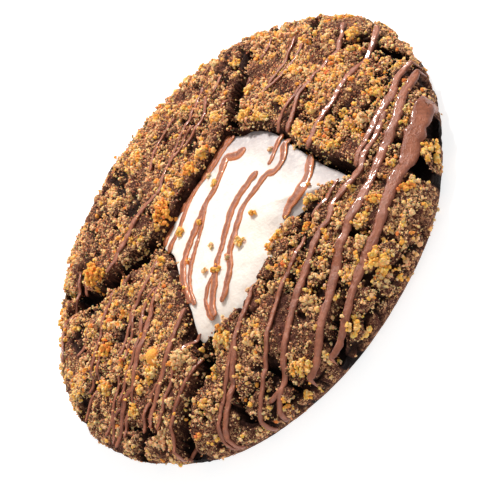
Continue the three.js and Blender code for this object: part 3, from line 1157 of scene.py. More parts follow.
CRUMB_KINDS = (
    CrumbKind("crumb_dust", 24000, (0.24, 0.42), (0.05, 0.5), patchiness=0.7, subdivisions=0, together=1),
    CrumbKind("crumb_sand", 20000, (0.34, 0.62), (0.12, 0.6), patchiness=1.1, subdivisions=0, together=2),
    CrumbKind("crumbs_fine", 8400, (0.44, 0.88), (0.32, 0.7), patchiness=1.7, subdivisions=1, together=5),
    CrumbKind("crumbs_coarse", 800, (0.8, 1.3), (0.4, 0.9), patchiness=1.6, subdivisions=2, together=1),
)


@dataclass(frozen=True)
class Ball:
    """One closed ball that many crumbs are made from."""

    points: np.ndarray
    faces: np.ndarray

    @classmethod
    def rounded(cls, subdivisions: int) -> "Ball":
        """Makes a ball of radius 1.

        Args:
            subdivisions: 0 for 8 faces, 1 for 20, 2 for 80 and 3 for 320.

        Returns:
            The ball.
        """
        ball = bmesh.new()
        if subdivisions:
            bmesh.ops.create_icosphere(ball, subdivisions=subdivisions, radius=1)
        else:
            bmesh.ops.create_uvsphere(ball, u_segments=4, v_segments=2, radius=1)
        ball.verts.index_update()
        points = np.array([vert.co[:] for vert in ball.verts])
        faces = np.array([[vert.index for vert in face.verts] for face in ball.faces])
        ball.free()
        return cls(points, faces)


def random_turns(count: int, draw: np.random.Generator) -> np.ndarray:
    """Draws rotations in all directions.

    Args:
        count: How many.
        draw: Source of random numbers.

    Returns:
        Rotation matrices, shape (count, 3, 3).
    """
    w, x, y, z = (lambda q: q / np.linalg.norm(q, axis=0))(draw.normal(size=(4, count)))
    return np.stack(
        [
            np.stack([1 - 2 * (y * y + z * z), 2 * (x * y - z * w), 2 * (x * z + y * w)], axis=1),
            np.stack([2 * (x * y + z * w), 1 - 2 * (x * x + z * z), 2 * (y * z - x * w)], axis=1),
            np.stack([2 * (x * z - y * w), 2 * (y * z + x * w), 1 - 2 * (x * x + y * y)], axis=1),
        ],
        axis=1,
    )


@dataclass(frozen=True)
class Grains:
    """Many crumbs: their centres and widths in millimetres, and their tints from 0 to 1."""

    places: np.ndarray
    sizes: np.ndarray
    tints: np.ndarray
    stretches: tuple[float, float] = (-1.3, 1.15)

    def only(self, kept: np.ndarray) -> "Grains":
        """The crumbs for which kept is true."""
        return Grains(self.places[kept], self.sizes[kept], self.tints[kept])

    @classmethod
    def together(cls, heaps: Sequence["Grains"]) -> "Grains":
        """Joins heaps into one.

        Args:
            heaps: The heaps.

        Returns:
            All their crumbs.
        """
        return cls(
            np.vstack([heap.places for heap in heaps]),
            np.concatenate([heap.sizes for heap in heaps]),
            np.concatenate([heap.tints for heap in heaps]),
        )

    def show(
        self, name: str, subdivisions: int, draw: np.random.Generator, unevenness: float = 0.26
    ) -> bpy.types.Object:
        """Joins the crumbs into one piece.

        Args:
            name: The piece's name.
            subdivisions: How finely each crumb is divided.
            draw: Source of random numbers.
            unevenness: How far corners stand in or out, as a share of the crumb's radius. A crumb is
                longer or shorter one way than another in proportion to it.

        Returns:
            The piece, with the attribute tint.
        """
        ball = Ball.rounded(subdivisions)
        count, corners = len(self.places), len(ball.points)
        uneven = 1 + unevenness * draw.uniform(-1, 1, (count, corners, 1))
        stretch = 1 + unevenness * draw.uniform(*self.stretches, (count, 1, 3))
        shapes = ball.points[None] * uneven * stretch * self.sizes[:, None, None] / 2
        shapes = np.einsum("nij,nkj->nki", random_turns(count, draw), shapes)
        points = (shapes + self.places[:, None]).reshape(-1, 3)
        faces = (ball.faces[None] + (np.arange(count) * corners)[:, None, None]).reshape(-1, 3)
        mesh = mesh_from(name, points, faces)
        set_attribute(mesh, "tint", np.repeat(np.clip(self.tints, 0, 1), corners))
        material = bpy.data.materials.get("biscuit_crumb") or CrumbFinish("biscuit_crumb").make()
        return show(name, mesh, material, smooth=subdivisions > 2)


class Bake(Enum):
    """How a clump of crumb is baked, as its place on the scale of crumb tints."""

    TAN = 0.42
    PALE = 0.54
    GOLD = 0.72
    ORANGE = 0.86
    RED = 0.97


@dataclass(frozen=True)
class Clump:
    """A heap of crumbs baked together: its place in plan, width and tint."""

    x: float
    y: float
    width: float
    bake: Bake = Bake.GOLD


CLUMPS = (
    Clump(-26.5, 23, 6.2, Bake.ORANGE), Clump(-6.2, 12.3, 5, Bake.ORANGE), Clump(-9.5, 11.4, 2.1),
    Clump(-7, 30.5, 1.9, Bake.PALE), Clump(-6, 25.5, 2.1, Bake.PALE), Clump(-12.5, 42, 1.7),
    Clump(-24.5, 6.5, 1.9), Clump(-38.5, 20.5, 2.1), Clump(-37.5, 32.5, 2.4, Bake.ORANGE),
    Clump(-37.5, 4, 3.6, Bake.ORANGE), Clump(-38, -3.5, 2.1, Bake.RED),
    Clump(-32, 34, 2.1, Bake.PALE), Clump(-33.5, 11.5, 2.6, Bake.PALE), Clump(-29, -21, 4, Bake.PALE),
    Clump(-29.5, -24.5, 1.9, Bake.PALE), Clump(-35.5, -14.5, 3.8), Clump(-39, -28.7, 3.3),
    Clump(-40, -33.5, 1.9, Bake.RED), Clump(-40, -12.7, 2.4), Clump(-44.5, -13.7, 3.1),
    Clump(-44.5, -2.2, 2.9),
    Clump(-46, -23.3, 4, Bake.TAN), Clump(-38, -23.7, 2.4, Bake.PALE), Clump(-20.3, -29.8, 3.6),
    Clump(-19.3, -27, 1.9, Bake.ORANGE), Clump(-27.5, -37, 1.4, Bake.ORANGE), Clump(-34, -32.5, 2.1),
    Clump(3.7, -25.7, 3.6), Clump(1, -26.2, 3.1, Bake.ORANGE), Clump(8.6, -31.3, 2.6, Bake.ORANGE),
    Clump(4.7, -31.2, 1.9), Clump(14.6, -26.5, 3.3), Clump(10, -36.3, 1.9), Clump(11.3, -50.7, 4.8),
    Clump(21.3, -41, 2.9, Bake.ORANGE), Clump(17.3, -42, 2.4), Clump(15, -42, 2.6),
    Clump(12.4, -45.2, 3.3, Bake.PALE),
    Clump(-2.5, -53.5, 4.3), Clump(-1, -52, 2.1), Clump(-3.5, -43, 2.9, Bake.PALE), Clump(-10.6, -51.8, 1.9),
    Clump(-9, -27, 2.1, Bake.TAN), Clump(0.5, -47, 1.7), Clump(1.3, -40.5, 1.7, Bake.PALE),
    Clump(-15.7, -49.4, 4.5), Clump(-10.7, -52.3, 1.9, Bake.PALE), Clump(-19.6, -51, 2.4),
    Clump(-24, -49, 2.1, Bake.ORANGE), Clump(24.4, -10.5, 2.6), Clump(45.4, 9.7, 1.7), Clump(49.8, 0.7, 2.9),
    Clump(47, -3.4, 2.4), Clump(40.8, -19.4, 3.1), Clump(34.4, -22.9, 3.8, Bake.PALE),
    Clump(33.6, -16.7, 2.1),
    Clump(32, -21.5, 1.9), Clump(26.8, -22.1, 3.3), Clump(43, -30, 1.7), Clump(37, -38.8, 4.5),
    Clump(36.6, -42, 2.6), Clump(34.7, -41.3, 1.7, Bake.ORANGE), Clump(29.8, -37.5, 2.4),
    Clump(27.2, -43.9, 2.6, Bake.ORANGE), Clump(38.8, -31.6, 1.9), Clump(30.7, -9.4, 2.9),
    Clump(36.6, 5.4, 1.9),
    Clump(35.7, -5.6, 2.1, Bake.PALE), Clump(17.8, 17, 3.3), Clump(21.6, 9.4, 3.1), Clump(23, 5.6, 3.1),
    Clump(23.8, 2.8, 2.1), Clump(23.6, 11.4, 2.1, Bake.TAN), Clump(27.4, 15.3, 2.4), Clump(31, 29, 2.9),
    Clump(9.4, 13.8, 3.1), Clump(5.2, 13.8, 3.1, Bake.ORANGE), Clump(1.2, 13.3, 2.6), Clump(5, 43, 1.9),
    Clump(16.2, 32, 1.9), Clump(12, 30, 1.9, Bake.TAN), Clump(40, 29.5, 1.9, Bake.ORANGE),
    Clump(29, 2.3, 2.1),
)

GOLDEN_LUMP = Clump(-32.5, -13, 3.6, Bake.ORANGE)
GRAIN_WIDTH = 0.5
FEWEST_GRAINS = 8
GRAIN_WIDTHS = (0.5, 1.05)

FILLING_CLUMPS = (
    Clump(5, -13, 2.1), Clump(-1.8, -15, 2.7), Clump(-6, -7.6, 1.8, Bake.PALE),
    Clump(-3.3, 1, 1.8, Bake.ORANGE),
    Clump(-7.4, 5.2, 2.4), Clump(-9.4, -13.3, 2.4, Bake.ORANGE), Clump(-11, -10.7, 1.6, Bake.PALE),
    Clump(-11.7, -3.8, 1.8, Bake.ORANGE), Clump(-16.9, -8, 1.3, Bake.ORANGE), Clump(5.5, 5, 2.1),
    Clump(-6.2, -14.8, 1.8, Bake.TAN), Clump(18.5, -3.8, 1.6, Bake.PALE), Clump(16.6, -22, 1.3, Bake.RED),
    Clump(6.2, 8.8, 1.3, Bake.PALE),
)


def heap_up(clump: Clump, ground: "Ground", draw: np.random.Generator) -> Grains:
    """Piles grains into one clump.

    Args:
        clump: What to pile up.
        ground: What it lies on.
        draw: Source of random numbers.

    Returns:
        The clump's grains.
    """
    count = max(FEWEST_GRAINS, round((clump.width / GRAIN_WIDTH) ** 2 * 0.95))
    turn = draw.uniform(0, math.tau, count)
    reach = np.sqrt(draw.uniform(0, 1, count)) * (clump.width / 2 - 0.2)
    wobble = 1 + 0.28 * np.sin(2 * turn + clump.x) + 0.2 * np.sin(3 * turn + clump.y)
    x = clump.x + reach * wobble * np.cos(turn)
    y = clump.y + reach * wobble * np.sin(turn)
    outer = eased(56, 47, np.hypot(clump.x, clump.y))
    arch = np.sqrt(np.clip(1 - (2 * reach / clump.width) ** 2, 0, 1))
    crown = (0.18 + 0.22 * outer) * clump.width * arch
    spots, up = ground.lay(np.column_stack([np.append(x, clump.x), np.append(y, clump.y)]), np.array)
    stands = np.append(draw.uniform(0.1, 1, count) * crown + 0.1, -0.02 * clump.width)
    return Grains(
        spots + up * stands[:, None],
        np.append(draw.uniform(*GRAIN_WIDTHS, count) * min(1.1, 0.7 + clump.width / 10), 0.5 * clump.width),
        np.append(clump.bake.value + draw.uniform(-0.16, 0.08, count), clump.bake.value - 0.08),
    )


@dataclass
class CrumbCoat:
    """All the crumbs that lie on the dough."""

    dough: Dough
    ground: "Ground"
    strands: "Drizzle"
    seed: int = 20
    small_clumps: int = 130
    shoulder: tuple[float, float] = (46.0, 52.0)
    looseness: float = 0.62
    stand: float = 0.22
    less_outside: float = 0.3

    def build(self) -> list[bpy.types.Object]:
        """Makes one piece for each size of crumb.

        Returns:
            The pieces, the finest crumbs first.
        """
        draw = np.random.default_rng(self.seed)
        pieces = []
        for kind in CRUMB_KINDS:
            sizes = kind.widths[0] + (kind.widths[1] - kind.widths[0]) * draw.beta(1.3, 2.2, kind.count)
            places = self._places(sizes, kind.patchiness, kind.together, draw)
            patches = 0.12 * np.clip(sandiness(places) - 1, -1, 1) + 0.14 * rough(places, 9.0, 91)
            tints = draw.uniform(*kind.tints, kind.count) + patches
            grains = Grains(places, sizes, tints)
            grains = grains.only(self.strands.clear_of(places, 0.1 * sizes))
            pieces.append(grains.show(kind.name, kind.subdivisions, draw))
        pieces.append(self._clumps(draw))
        lump = GOLDEN_LUMP
        middle = np.array([[lump.x, lump.y, self.ground.height(lump.x, lump.y) + 0.1 * lump.width]])
        golden = Grains(middle, np.array([lump.width]), np.array([lump.bake.value - 0.07]))
        pieces.append(golden.show("golden_lump", 3, draw, unevenness=0.05))
        return pieces

    def _places(
        self, sizes: np.ndarray, patchiness: float, together: int, draw: np.random.Generator
    ) -> np.ndarray:
        """Draws places on the dough, dense in some patches and sparse in others.

        Args:
            sizes: Widths of the crumbs that lie there, in millimetres.
            patchiness: 0 for an even spread, more for bare and crowded patches.
            together: How many crumbs stick to each other.
            draw: Source of random numbers.

        Returns:
            Centres of the crumbs in millimetres, one for each size.
        """
        points, normals = read_points(self.dough.mesh), read_normals(self.dough.mesh)
        corners = triangles_of(self.dough.mesh)
        patches = np.clip(1 + patchiness * (sandiness(points) - 1), 0.05, 3)
        weight = patches * (1 - self.dough.bareness) ** 1.5 * eased(0.4, 7.5, points[:, 2])
        first, second, third = (points[corners[:, n]] for n in range(3))
        area = np.linalg.norm(np.cross(second - first, third - first), axis=1) / 2
        chance = np.cumsum(area * weight[corners].mean(axis=1))
        groups = -(-len(sizes) // together)
        chosen = np.searchsorted(chance, draw.uniform(0, chance[-1], groups))
        along, across = draw.uniform(size=(2, groups))
        over = along + across > 1
        along[over], across[over] = 1 - along[over], 1 - across[over]
        spot = first[chosen] + (second - first)[chosen] * along[:, None]
        spot = spot + (third - first)[chosen] * across[:, None]
        up = normals[corners[chosen]].mean(axis=1)
        up /= np.linalg.norm(up, axis=1)[:, None]
        spot, up = (np.repeat(one, together, axis=0)[: len(sizes)] for one in (spot, up))
        if together > 1:
            outer = eased(*self.shoulder, np.hypot(spot[:, 0], spot[:, 1]))
            loose = self.looseness - self.less_outside * outer
            apart = draw.normal(size=spot.shape) * (loose * sizes)[:, None]
            apart -= up * np.minimum(np.sum(apart * up, axis=1), 0)[:, None]
            spot = spot + apart
        outer = eased(*self.shoulder, np.hypot(spot[:, 0], spot[:, 1]))
        raised = self.stand - self.less_outside * outer
        return spot + up * (raised * sizes)[:, None]

    def _clumps(self, draw: np.random.Generator) -> bpy.types.Object:
        """Makes the heaps of baked-together crumb.

        Args:
            draw: Source of random numbers.

        Returns:
            The piece.
        """
        loose = self._places(np.full(self.small_clumps, 1.0), 1.6, 1, draw)
        widths = draw.uniform(1.1, 2.1, len(loose))
        common = [Bake.TAN, Bake.PALE, Bake.GOLD, Bake.GOLD, Bake.GOLD, Bake.ORANGE]
        bakes = draw.choice(common, len(loose))
        small = [Clump(x, y, width, bake) for (x, y, _), width, bake in zip(loose, widths, bakes)]
        grains = Grains.together([heap_up(clump, self.ground, draw) for clump in (*CLUMPS, *small)])
        grains = grains.only(self.strands.clear_of(grains.places, 0.35 * grains.sizes))
        return grains.show("crumb_clumps", 1, draw)


# ---- Chocolate strands ----------------------------------------------------------------------


@dataclass
class Ground:
    """The surface that crumbs and strands lie on: one or more meshes, felt for with plumb lines."""

    form: CookieForm
    meshes: tuple[bpy.types.Mesh, ...]
    rim_margin: float = 0.4
    furthest_turn: float = 1.35
    turn_per_mm: float = 0.17
    plumb_height: float = 60.0
    slope_step: float = 0.5
    steepest: float = 2.0
    trees: list[BVHTree] = field(init=False)

    def __post_init__(self) -> None:
        """Sorts the triangles for quick hits."""
        shapes = [(read_points(mesh).tolist(), triangles_of(mesh).tolist()) for mesh in self.meshes]
        self.trees = [BVHTree.FromPolygons(points, triangles) for points, triangles in shapes]

    def height(self, x: np.ndarray, y: np.ndarray) -> np.ndarray:
        """Feels for the surface.

        Args:
            x: Places in plan, or one place.
            y: Places in plan, or one place.

        Returns:
            The surface's height at each place, in millimetres.
        """
        flat_x, flat_y = np.atleast_1d(x).astype(float), np.atleast_1d(y).astype(float)
        found = self.form.dome(flat_x, flat_y)
        down = Vector((0, 0, -1))
        for n, (one_x, one_y) in enumerate(zip(flat_x, flat_y)):
            start = Vector((one_x, one_y, self.plumb_height))
            hits = [tree.ray_cast(start, down)[0] for tree in self.trees]
            heights = [hit.z for hit in hits if hit is not None]
            if heights:
                found[n] = max(heights)
        return found if np.ndim(x) else float(found[0])

    def lay(
        self, path: np.ndarray, softened: Callable[[np.ndarray], np.ndarray]
    ) -> tuple[np.ndarray, np.ndarray]:
        """Lays a route on the surface; what runs past the rim turns down over the side.

        Args:
            path: Places in plan, shape (n, 2).
            softened: Evens out the heights along the route.

        Returns:
            Points on the surface, and the directions that stand square on it, both of shape (n, 3).
        """
        angle, away = np.arctan2(path[:, 1], path[:, 0]), np.hypot(*path.T)
        rim = self.form.radius * self.form.rim_share(angle) - self.rim_margin
        outward = np.column_stack([np.cos(angle), np.sin(angle)])
        held = outward * np.minimum(away, rim)[:, None]
        points = np.column_stack([held, softened(self.height(held[:, 0], held[:, 1]))])
        square = self._square(held)

        turn = np.minimum((away - rim) * self.turn_per_mm, self.furthest_turn)
        past = turn > 0
        reach = rim * (self.form.base_share + (1 - self.form.base_share) * np.cos(turn))
        fall = np.column_stack([outward * reach[:, None], self.form.waist_height * (1 - np.sin(turn))])
        away_down = np.column_stack([outward * np.cos(turn)[:, None], -np.sin(turn)])
        points[past], square[past] = fall[past], away_down[past]
        return points, square / np.linalg.norm(square, axis=1)[:, None]

    def _square(self, places: np.ndarray) -> np.ndarray:
        """Finds how the smooth dome slopes.

        Args:
            places: Places in plan, shape (n, 2).

        Returns:
            The direction that stands square on the dome at each place, shape (n, 3).
        """
        step, dome = self.slope_step, self.form.dome
        x, y = places.T
        rise_x = (dome(x + step, y) - dome(x - step, y)) / (2 * step)
        rise_y = (dome(x, y + step) - dome(x, y - step)) / (2 * step)
        slopes = np.clip(np.column_stack([rise_x, rise_y]), -self.steepest, self.steepest)
        return np.column_stack([-slopes, np.ones_like(x)])


@dataclass(frozen=True)
class Strand:
    """One run of milk chocolate: its route in plan and its width along it, in millimetres."""

    route: Route
    widths: tuple[float, ...] = (1.0, 1.15, 1.0)


COOKIE_STRANDS = (
    Strand(
        ((-3.5, 18.5), (-8, 20), (-11.5, 20), (-16, 19), (-20, 19), (-24.5, 19)),
        (1.6, 2.2, 2.0, 1.8, 1.6),
    ),
    Strand(((22.5, 32.5), (16.5, 27.5), (13.5, 26), (5, 23.5), (3, 22))),
    Strand(((21, 26), (18, 23), (15, 21.5), (8.5, 21))),
    Strand(((14, 22.5), (11, 23.5), (8, 22.5), (3, 22.5), (-2, 19.5), (-3.5, 18.5)), (0.9, 1.1, 1.4)),
    Strand(((30.5, 24), (25, 20), (20.5, 18))),
    Strand(((27, 28), (25, 27), (22.5, 25.5))),
    Strand(((13, 33), (7, 32.5), (2, 29.5), (0, 28))),
    Strand(((43, 14.5), (36.5, 11.5), (33.5, 10.5), (29.5, 10.5)), (1.0, 1.3, 1.1)),
    Strand(((42.5, 10.5), (36.5, 8.5), (30.5, 9), (24.5, 10.5))),
    Strand(((40, 21.5), (36.5, 20), (34.5, 19.5))),
    Strand(((34, -1.5), (28.5, -2), (25.5, -2.5), (22.5, -4)), (0.9, 1.2, 1.3)),
    Strand(((51, 6), (45, 0), (41, -1), (32.5, -2.5), (29.5, -4), (23.5, -7)), (1.3, 1.6, 1.4, 1.6)),
    Strand(((54, -3), (50, -6), (43, -9.5), (35.5, -12.5), (29.5, -14), (23, -16.5)), (1.6, 2.0, 1.6, 1.9)),
    Strand(((51, -20), (47, -20.5), (41.5, -24), (34.5, -27), (25, -31)), (1.6, 2.8, 2.5, 1.9, 1.6)),
    Strand(
        ((38.5, -27), (34, -29), (28.5, -31), (25.5, -33), (23, -33), (16.5, -33.5), (13, -35.5),
         (9.5, -35.5), (3.5, -37.5), (-6.5, -41), (-15.5, -45), (-21, -47), (-25.5, -48), (-27.5, -50)),
        (1.6, 2.2, 1.8, 2.2, 1.9, 1.6),
    ),
    Strand(((-22, -47), (-25.5, -46))),
    Strand(
        ((50, -22.5), (44, -25.5), (38, -30), (30.5, -33.5), (22.5, -37.5), (14.5, -40), (5, -43.5),
         (-3.5, -47.5), (-12.5, -51), (-17, -52)),
        (2.4, 3.0, 2.7, 2.7, 2.4, 2.2),
    ),
    Strand(
        ((46, -30), (43.5, -31.8), (39.5, -34.5), (35.5, -36.7), (31.5, -39), (23, -43), (16.5, -46),
         (10, -47.5), (2, -50), (-6.5, -53), (-11, -53.5)),
        (5.6, 6.2, 5.4, 4.2, 3.4, 2.9, 2.6, 2.3, 2.0, 1.4),
    ),
    Strand(((21, -30), (16, -31), (11, -31))),
    Strand(
        ((7, -32), (2.5, -34), (-2, -35), (-8.5, -37), (-19, -41.5), (-27.5, -45), (-29.5, -46), (-31, -49)),
        (1.2, 1.4, 1.2),
    ),
    Strand(
        ((-4, -26.5), (-8, -28), (-11, -29.5), (-18, -32), (-21.5, -34), (-27, -36.5), (-34, -39),
         (-36.5, -40.5), (-37.5, -43.5)),
        (1.3, 1.8, 1.6),
    ),
    Strand(((-13.5, -30), (-19, -32), (-27, -35), (-35, -38), (-37.5, -39.5), (-38.5, -42)), (1.0, 1.3, 1.1)),
    Strand(((-20, -14), (-26, -16), (-32, -17.5), (-39, -19), (-43, -20), (-45, -22)), (1.6, 2.0, 1.4)),
    Strand(((-22.5, -20), (-25, -20), (-28.5, -20))),
    Strand(((-26.5, -25.5), (-35, -25.5), (-41.5, -26), (-43.5, -27.5), (-47, -30)), (1.0, 1.4, 1.2)),
    Strand(((-23.5, -28.5), (-26.5, -27.5), (-32, -29), (-34.5, -28), (-38, -27.5))),
    Strand(((-41, -30), (-44.5, -30.5), (-46, -31.5))),
    Strand(((-31.5, -20.5), (-34, -21.5), (-39, -22), (-44.5, -23.5)), (0.9, 1.2, 1.0)),
    Strand(((-36.5, -17.5), (-40, -17), (-43, -17), (-47, -19)), (0.9, 1.2, 1.0)),
    Strand(
        ((-18.5, -1.5), (-23, -3), (-31, -7), (-35, -8), (-40.5, -10.5), (-43.5, -9.5), (-47, -10.5),
         (-53.5, -11.5)),
        (1.5, 1.9, 1.8, 1.4),
    ),
    Strand(((-40.5, -10.5), (-44, -11.5), (-47, -12), (-50.5, -13.5))),
    Strand(((-20, -1), (-25.5, -1), (-29.5, -4), (-36.5, -6.5), (-42, -8), (-45, -9)), (1.0, 1.3, 1.1)),
    Strand(((-28, 1), (-31.5, -2), (-37.5, -4))),
    Strand(((-15.5, 4.5), (-20, 3), (-27.5, 2), (-31, 0.5), (-33.5, -0.5), (-37, -2)), (1.1, 1.3, 1.1)),
    Strand(((-40.5, -4.5), (-44.5, -6), (-48, -7), (-53, -7.5)), (1.0, 1.2, 1.0)),
    Strand(((-46, -9), (-48, -8), (-50.5, -8.5), (-53, -10.5))),
    Strand(((-28, 32), (-32, 28.5), (-35.5, 27.5), (-39.5, 28), (-43, 25.5), (-46.5, 20.5)), (1.1, 1.5, 1.2)),
    Strand(((-29, 28.5), (-31.5, 26))),
    Strand(
        ((-19, 19), (-22.5, 17.5), (-26, 14), (-28.5, 11.5), (-34, 9.5), (-42, 6), (-45.5, 4.5), (-48, 4.5)),
        (1.1, 1.3, 1.1),
    ),
    Strand(((-34, 13), (-36.5, 14), (-39, 14.5), (-43.5, 15.5))),
    Strand(((-36, 7), (-39, 5), (-45, 2), (-47.5, 2), (-50.5, 2), (-53.5, 1)), (0.9, 1.2, 1.0)),
    Strand(((-21.5, 10), (-25, 10.5))),
)

FILLING_STRANDS = (
    Strand(
        ((16.5, 12.7), (13, 12), (9, 11.3), (4, 10.8), (0, 10.5), (-5.5, 10.1), (-9.5, 9.6), (-12.3, 8.6)),
        (1.2, 1.4),
    ),
    Strand(
        ((17, 11), (13.5, 11), (9.5, 10), (6, 10), (2.5, 10), (-1.5, 9.3), (-6.5, 7), (-11, 6), (-13, 5.5)),
        (1.1, 1.3, 1.2),
    ),
    Strand(
        ((16, 4.5), (14.5, 4.5), (13, 6), (12, 8), (9.5, 6.5), (5, 4), (1.5, 3.5), (-3.5, 1.5), (-8, 0),
         (-12, -2), (-15.4, -5.5), (-17.2, -9), (-18.6, -13)),
        (2.8, 1.8, 1.7, 2.0, 2.0, 1.8, 1.7),
    ),
    Strand(
        ((3.5, 4), (0, 2.5), (-4, -0.5), (-10, -4), (-14, -7), (-16.5, -10.5), (-18.4, -14.5)),
        (0.9, 1.1, 1.0),
    ),
    Strand(
        ((13, -5.5), (11, -5), (7.5, -5), (3, -6), (-3, -9.5), (-7.5, -12), (-12, -15.5), (-16, -18.5),
         (-18, -21.5)),
        (2.0, 1.6, 1.7, 1.6),
    ),
    Strand(((-9, -13.5), (-13, -14), (-16.5, -16.5), (-18, -19), (-18.5, -21.5)), (0.8, 1.0, 0.9)),
    Strand(
        ((23, -6.5), (21, -6.5), (18, -9.5), (15, -10), (13.5, -8.5), (9.5, -8.5), (5.5, -8.5), (1, -10.5),
         (-4, -13.5), (-7.5, -17), (-11.5, -19.5), (-14.5, -21)),
        (1.6, 1.8, 1.5, 1.8, 1.6, 1.4),
    ),
    Strand(((23, -3.5), (20.5, -4), (17.5, -6), (15.5, -7)), (1.3, 1.4, 1.1)),
    Strand(
        ((22.6, -15.5), (21.5, -16), (18.5, -19), (15, -21), (11, -21), (7.5, -22)),
        (1.9, 2.2, 3.0, 2.6, 1.6),
    ),
)


CHOCOLATE_ON_COOKIE = ChocolateFinish(
    "milk_chocolate", thick=(166, 98, 68), thin=(116, 58, 34), dark=(124, 68, 46)
)
CHOCOLATE_ON_FILLING = ChocolateFinish(
    "thin_milk_chocolate", thick=(136, 72, 42), thin=(226, 136, 80), dark=(112, 58, 36)
)


@dataclass
class Drizzle:
    """Strands of milk chocolate that lie on the cookie or its filling."""

    name: str
    strands: tuple[Strand, ...]
    ground: Ground
    finish: ChocolateFinish
    lift: float = 0.34
    bumps: float = 0.09
    spread: float = 0.8
    thin_extra: float = 0.14
    least_height: float = 0.2
    height_per_width: float = 0.07
    bridge: float = 2.4
    bridge_per_width: float = 1.1
    sides: int = 16
    groove: float = 0.2
    spacing: float = 0.36
    furthest_half: float = 3.0
    relief_height: float = 0.08
    least_round: float = 0.02
    runs: list[tuple[np.ndarray, np.ndarray]] = field(default_factory=list)

    def build(self) -> bpy.types.Object:
        """Makes the piece.

        Returns:
            The finished object.
        """
        whole = bmesh.new()
        whole.verts.layers.float.new("edge")
        for number, strand in enumerate(self.strands):
            self._add(whole, strand, number)
        mesh = bpy.data.meshes.new(self.name)
        whole.to_mesh(mesh)
        whole.free()
        face_outwards(mesh)
        points = read_points(mesh)
        relief = self.relief_height * ripple(points, 1.2, 301) + self.relief_height * ripple(points, 0.6, 303)
        write_points(mesh, points + read_normals(mesh) * relief[:, None])
        return show(self.name, mesh, self.finish.make())

    def clear_of(self, places: np.ndarray, margin: np.ndarray) -> np.ndarray:
        """Finds the crumbs that no strand covers.

        Args:
            places: The crumbs' centres in millimetres, shape (n, 3).
            margin: How far each may reach under a strand's edge.

        Returns:
            True for each crumb that stays.
        """
        clear = np.ones(len(places), bool)
        for path, half in self.runs:
            low = path.min(axis=0)[:2] - self.furthest_half
            high = path.max(axis=0)[:2] + self.furthest_half
            near = np.flatnonzero(((places[:, :2] > low) & (places[:, :2] < high)).all(axis=1))
            if len(near):
                apart, index = distance_to(places[near, :2], path[:, :2])
                clear[near] &= apart > half[index] - margin[near]
        return clear

    def _add(self, whole: bmesh.types.BMesh, strand: Strand, number: int) -> None:
        """Lays one strand and adds it to the piece.

        Args:
            whole: The mesh that takes all strands.
            strand: The strand.
            number: Makes each strand uneven in its own way.
        """
        path = flowing(strand.route, self.spacing)
        count = len(path)
        run = np.arange(count) * self.spacing
        line = np.column_stack([run, np.full(count, number * 5.0), np.zeros(count)])
        direction = np.gradient(path, axis=0)
        direction /= np.linalg.norm(direction, axis=1)[:, None]
        sideways = np.column_stack([-direction[:, 1], direction[:, 0]])
        sway = 0.2 * rough(line, 4.0, number + 5) + 0.1 * ripple(line, 1.3, number + 9)
        width = np.interp(np.linspace(0, 1, count), np.linspace(0, 1, len(strand.widths)), strand.widths)
        width = self.spread * width + self.thin_extra
        swelling = 0.92 + 0.2 * rough(line, 2.6, number + 55, 2) + 0.12 * ripple(line, 0.9, number + 56)
        width = width * swelling
        to_end = np.minimum(run, run[-1] - run)
        short = 1 - np.clip(to_end / (0.8 * width), 0, 1)
        rounded = np.sqrt(np.clip(1 - short**2, self.least_round, 1))
        half = width / 2 * rounded
        rise = (self.least_height + self.height_per_width * width) * np.sqrt(rounded)

        widest_gap = self.bridge + self.bridge_per_width * float(width.max() - 1)
        reach = max(1, round(widest_gap / self.spacing))
        swayed = path + sideways * sway[:, None]
        centre, up = self.ground.lay(swayed, lambda level: self._draped(level, reach))
        centre = centre + up * (self.lift + self.bumps * ripple(line, 1.7, number + 77))[:, None]
        across = np.cross(up, np.gradient(centre, axis=0))
        across /= np.linalg.norm(across, axis=1)[:, None]
        self.runs.append((centre, half))

        # A straight tube of unit length is bent and squashed onto the route.
        wander = 2.2 * rough(line, 7.0, number + 31, 2)
        tube = bmesh.new()
        bmesh.ops.create_cone(tube, cap_ends=True, segments=self.sides, radius1=1, radius2=1, depth=1)
        length_edges = [one for one in tube.edges if abs(one.verts[0].co.z - one.verts[1].co.z) > 0.5]
        bmesh.ops.subdivide_edges(tube, edges=length_edges, cuts=count - 2)
        nearness = tube.verts.layers.float.new("edge")
        for vert in tube.verts:
            ring = min(count - 1, max(0, round((vert.co.z + 0.5) * (count - 1))))
            aside = vert.co.x
            over = abs(vert.co.y) ** 0.5 * (rise[ring] if vert.co.y > 0 else -0.8 * self.lift)
            over *= 1 - self.groove * math.cos(6.6 * aside + wander[ring])
            vert[nearness] = aside**2
            place = centre[ring] + across[ring] * (aside * half[ring]) + up[ring] * over
            vert.co = Vector(place * MM)
        part = bpy.data.meshes.new("strand")
        tube.to_mesh(part)
        tube.free()
        whole.from_mesh(part)
        bpy.data.meshes.remove(part)

    @staticmethod
    def _draped(level: np.ndarray, reach: int) -> np.ndarray:
        """Lets a strand bridge hollows.

        Args:
            level: Heights along the strand.
            reach: Half the widest hollow that it bridges, in points.

        Returns:
            The strand's own heights.
        """
        closed = level
        for ends in (np.max, np.min):
            padded = np.pad(closed, reach, mode="edge")
            closed = ends(np.lib.stride_tricks.sliding_window_view(padded, 2 * reach + 1), axis=1)
        mixed = 0.15 * level + 0.85 * closed
        softness = np.hanning(2 * (reach // 2 + 1) + 3)
        padded = np.pad(mixed, len(softness) // 2, mode="edge")
        return np.convolve(padded, softness / softness.sum(), mode="valid")


# ---- Marshmallow ----------------------------------------------------------------------------


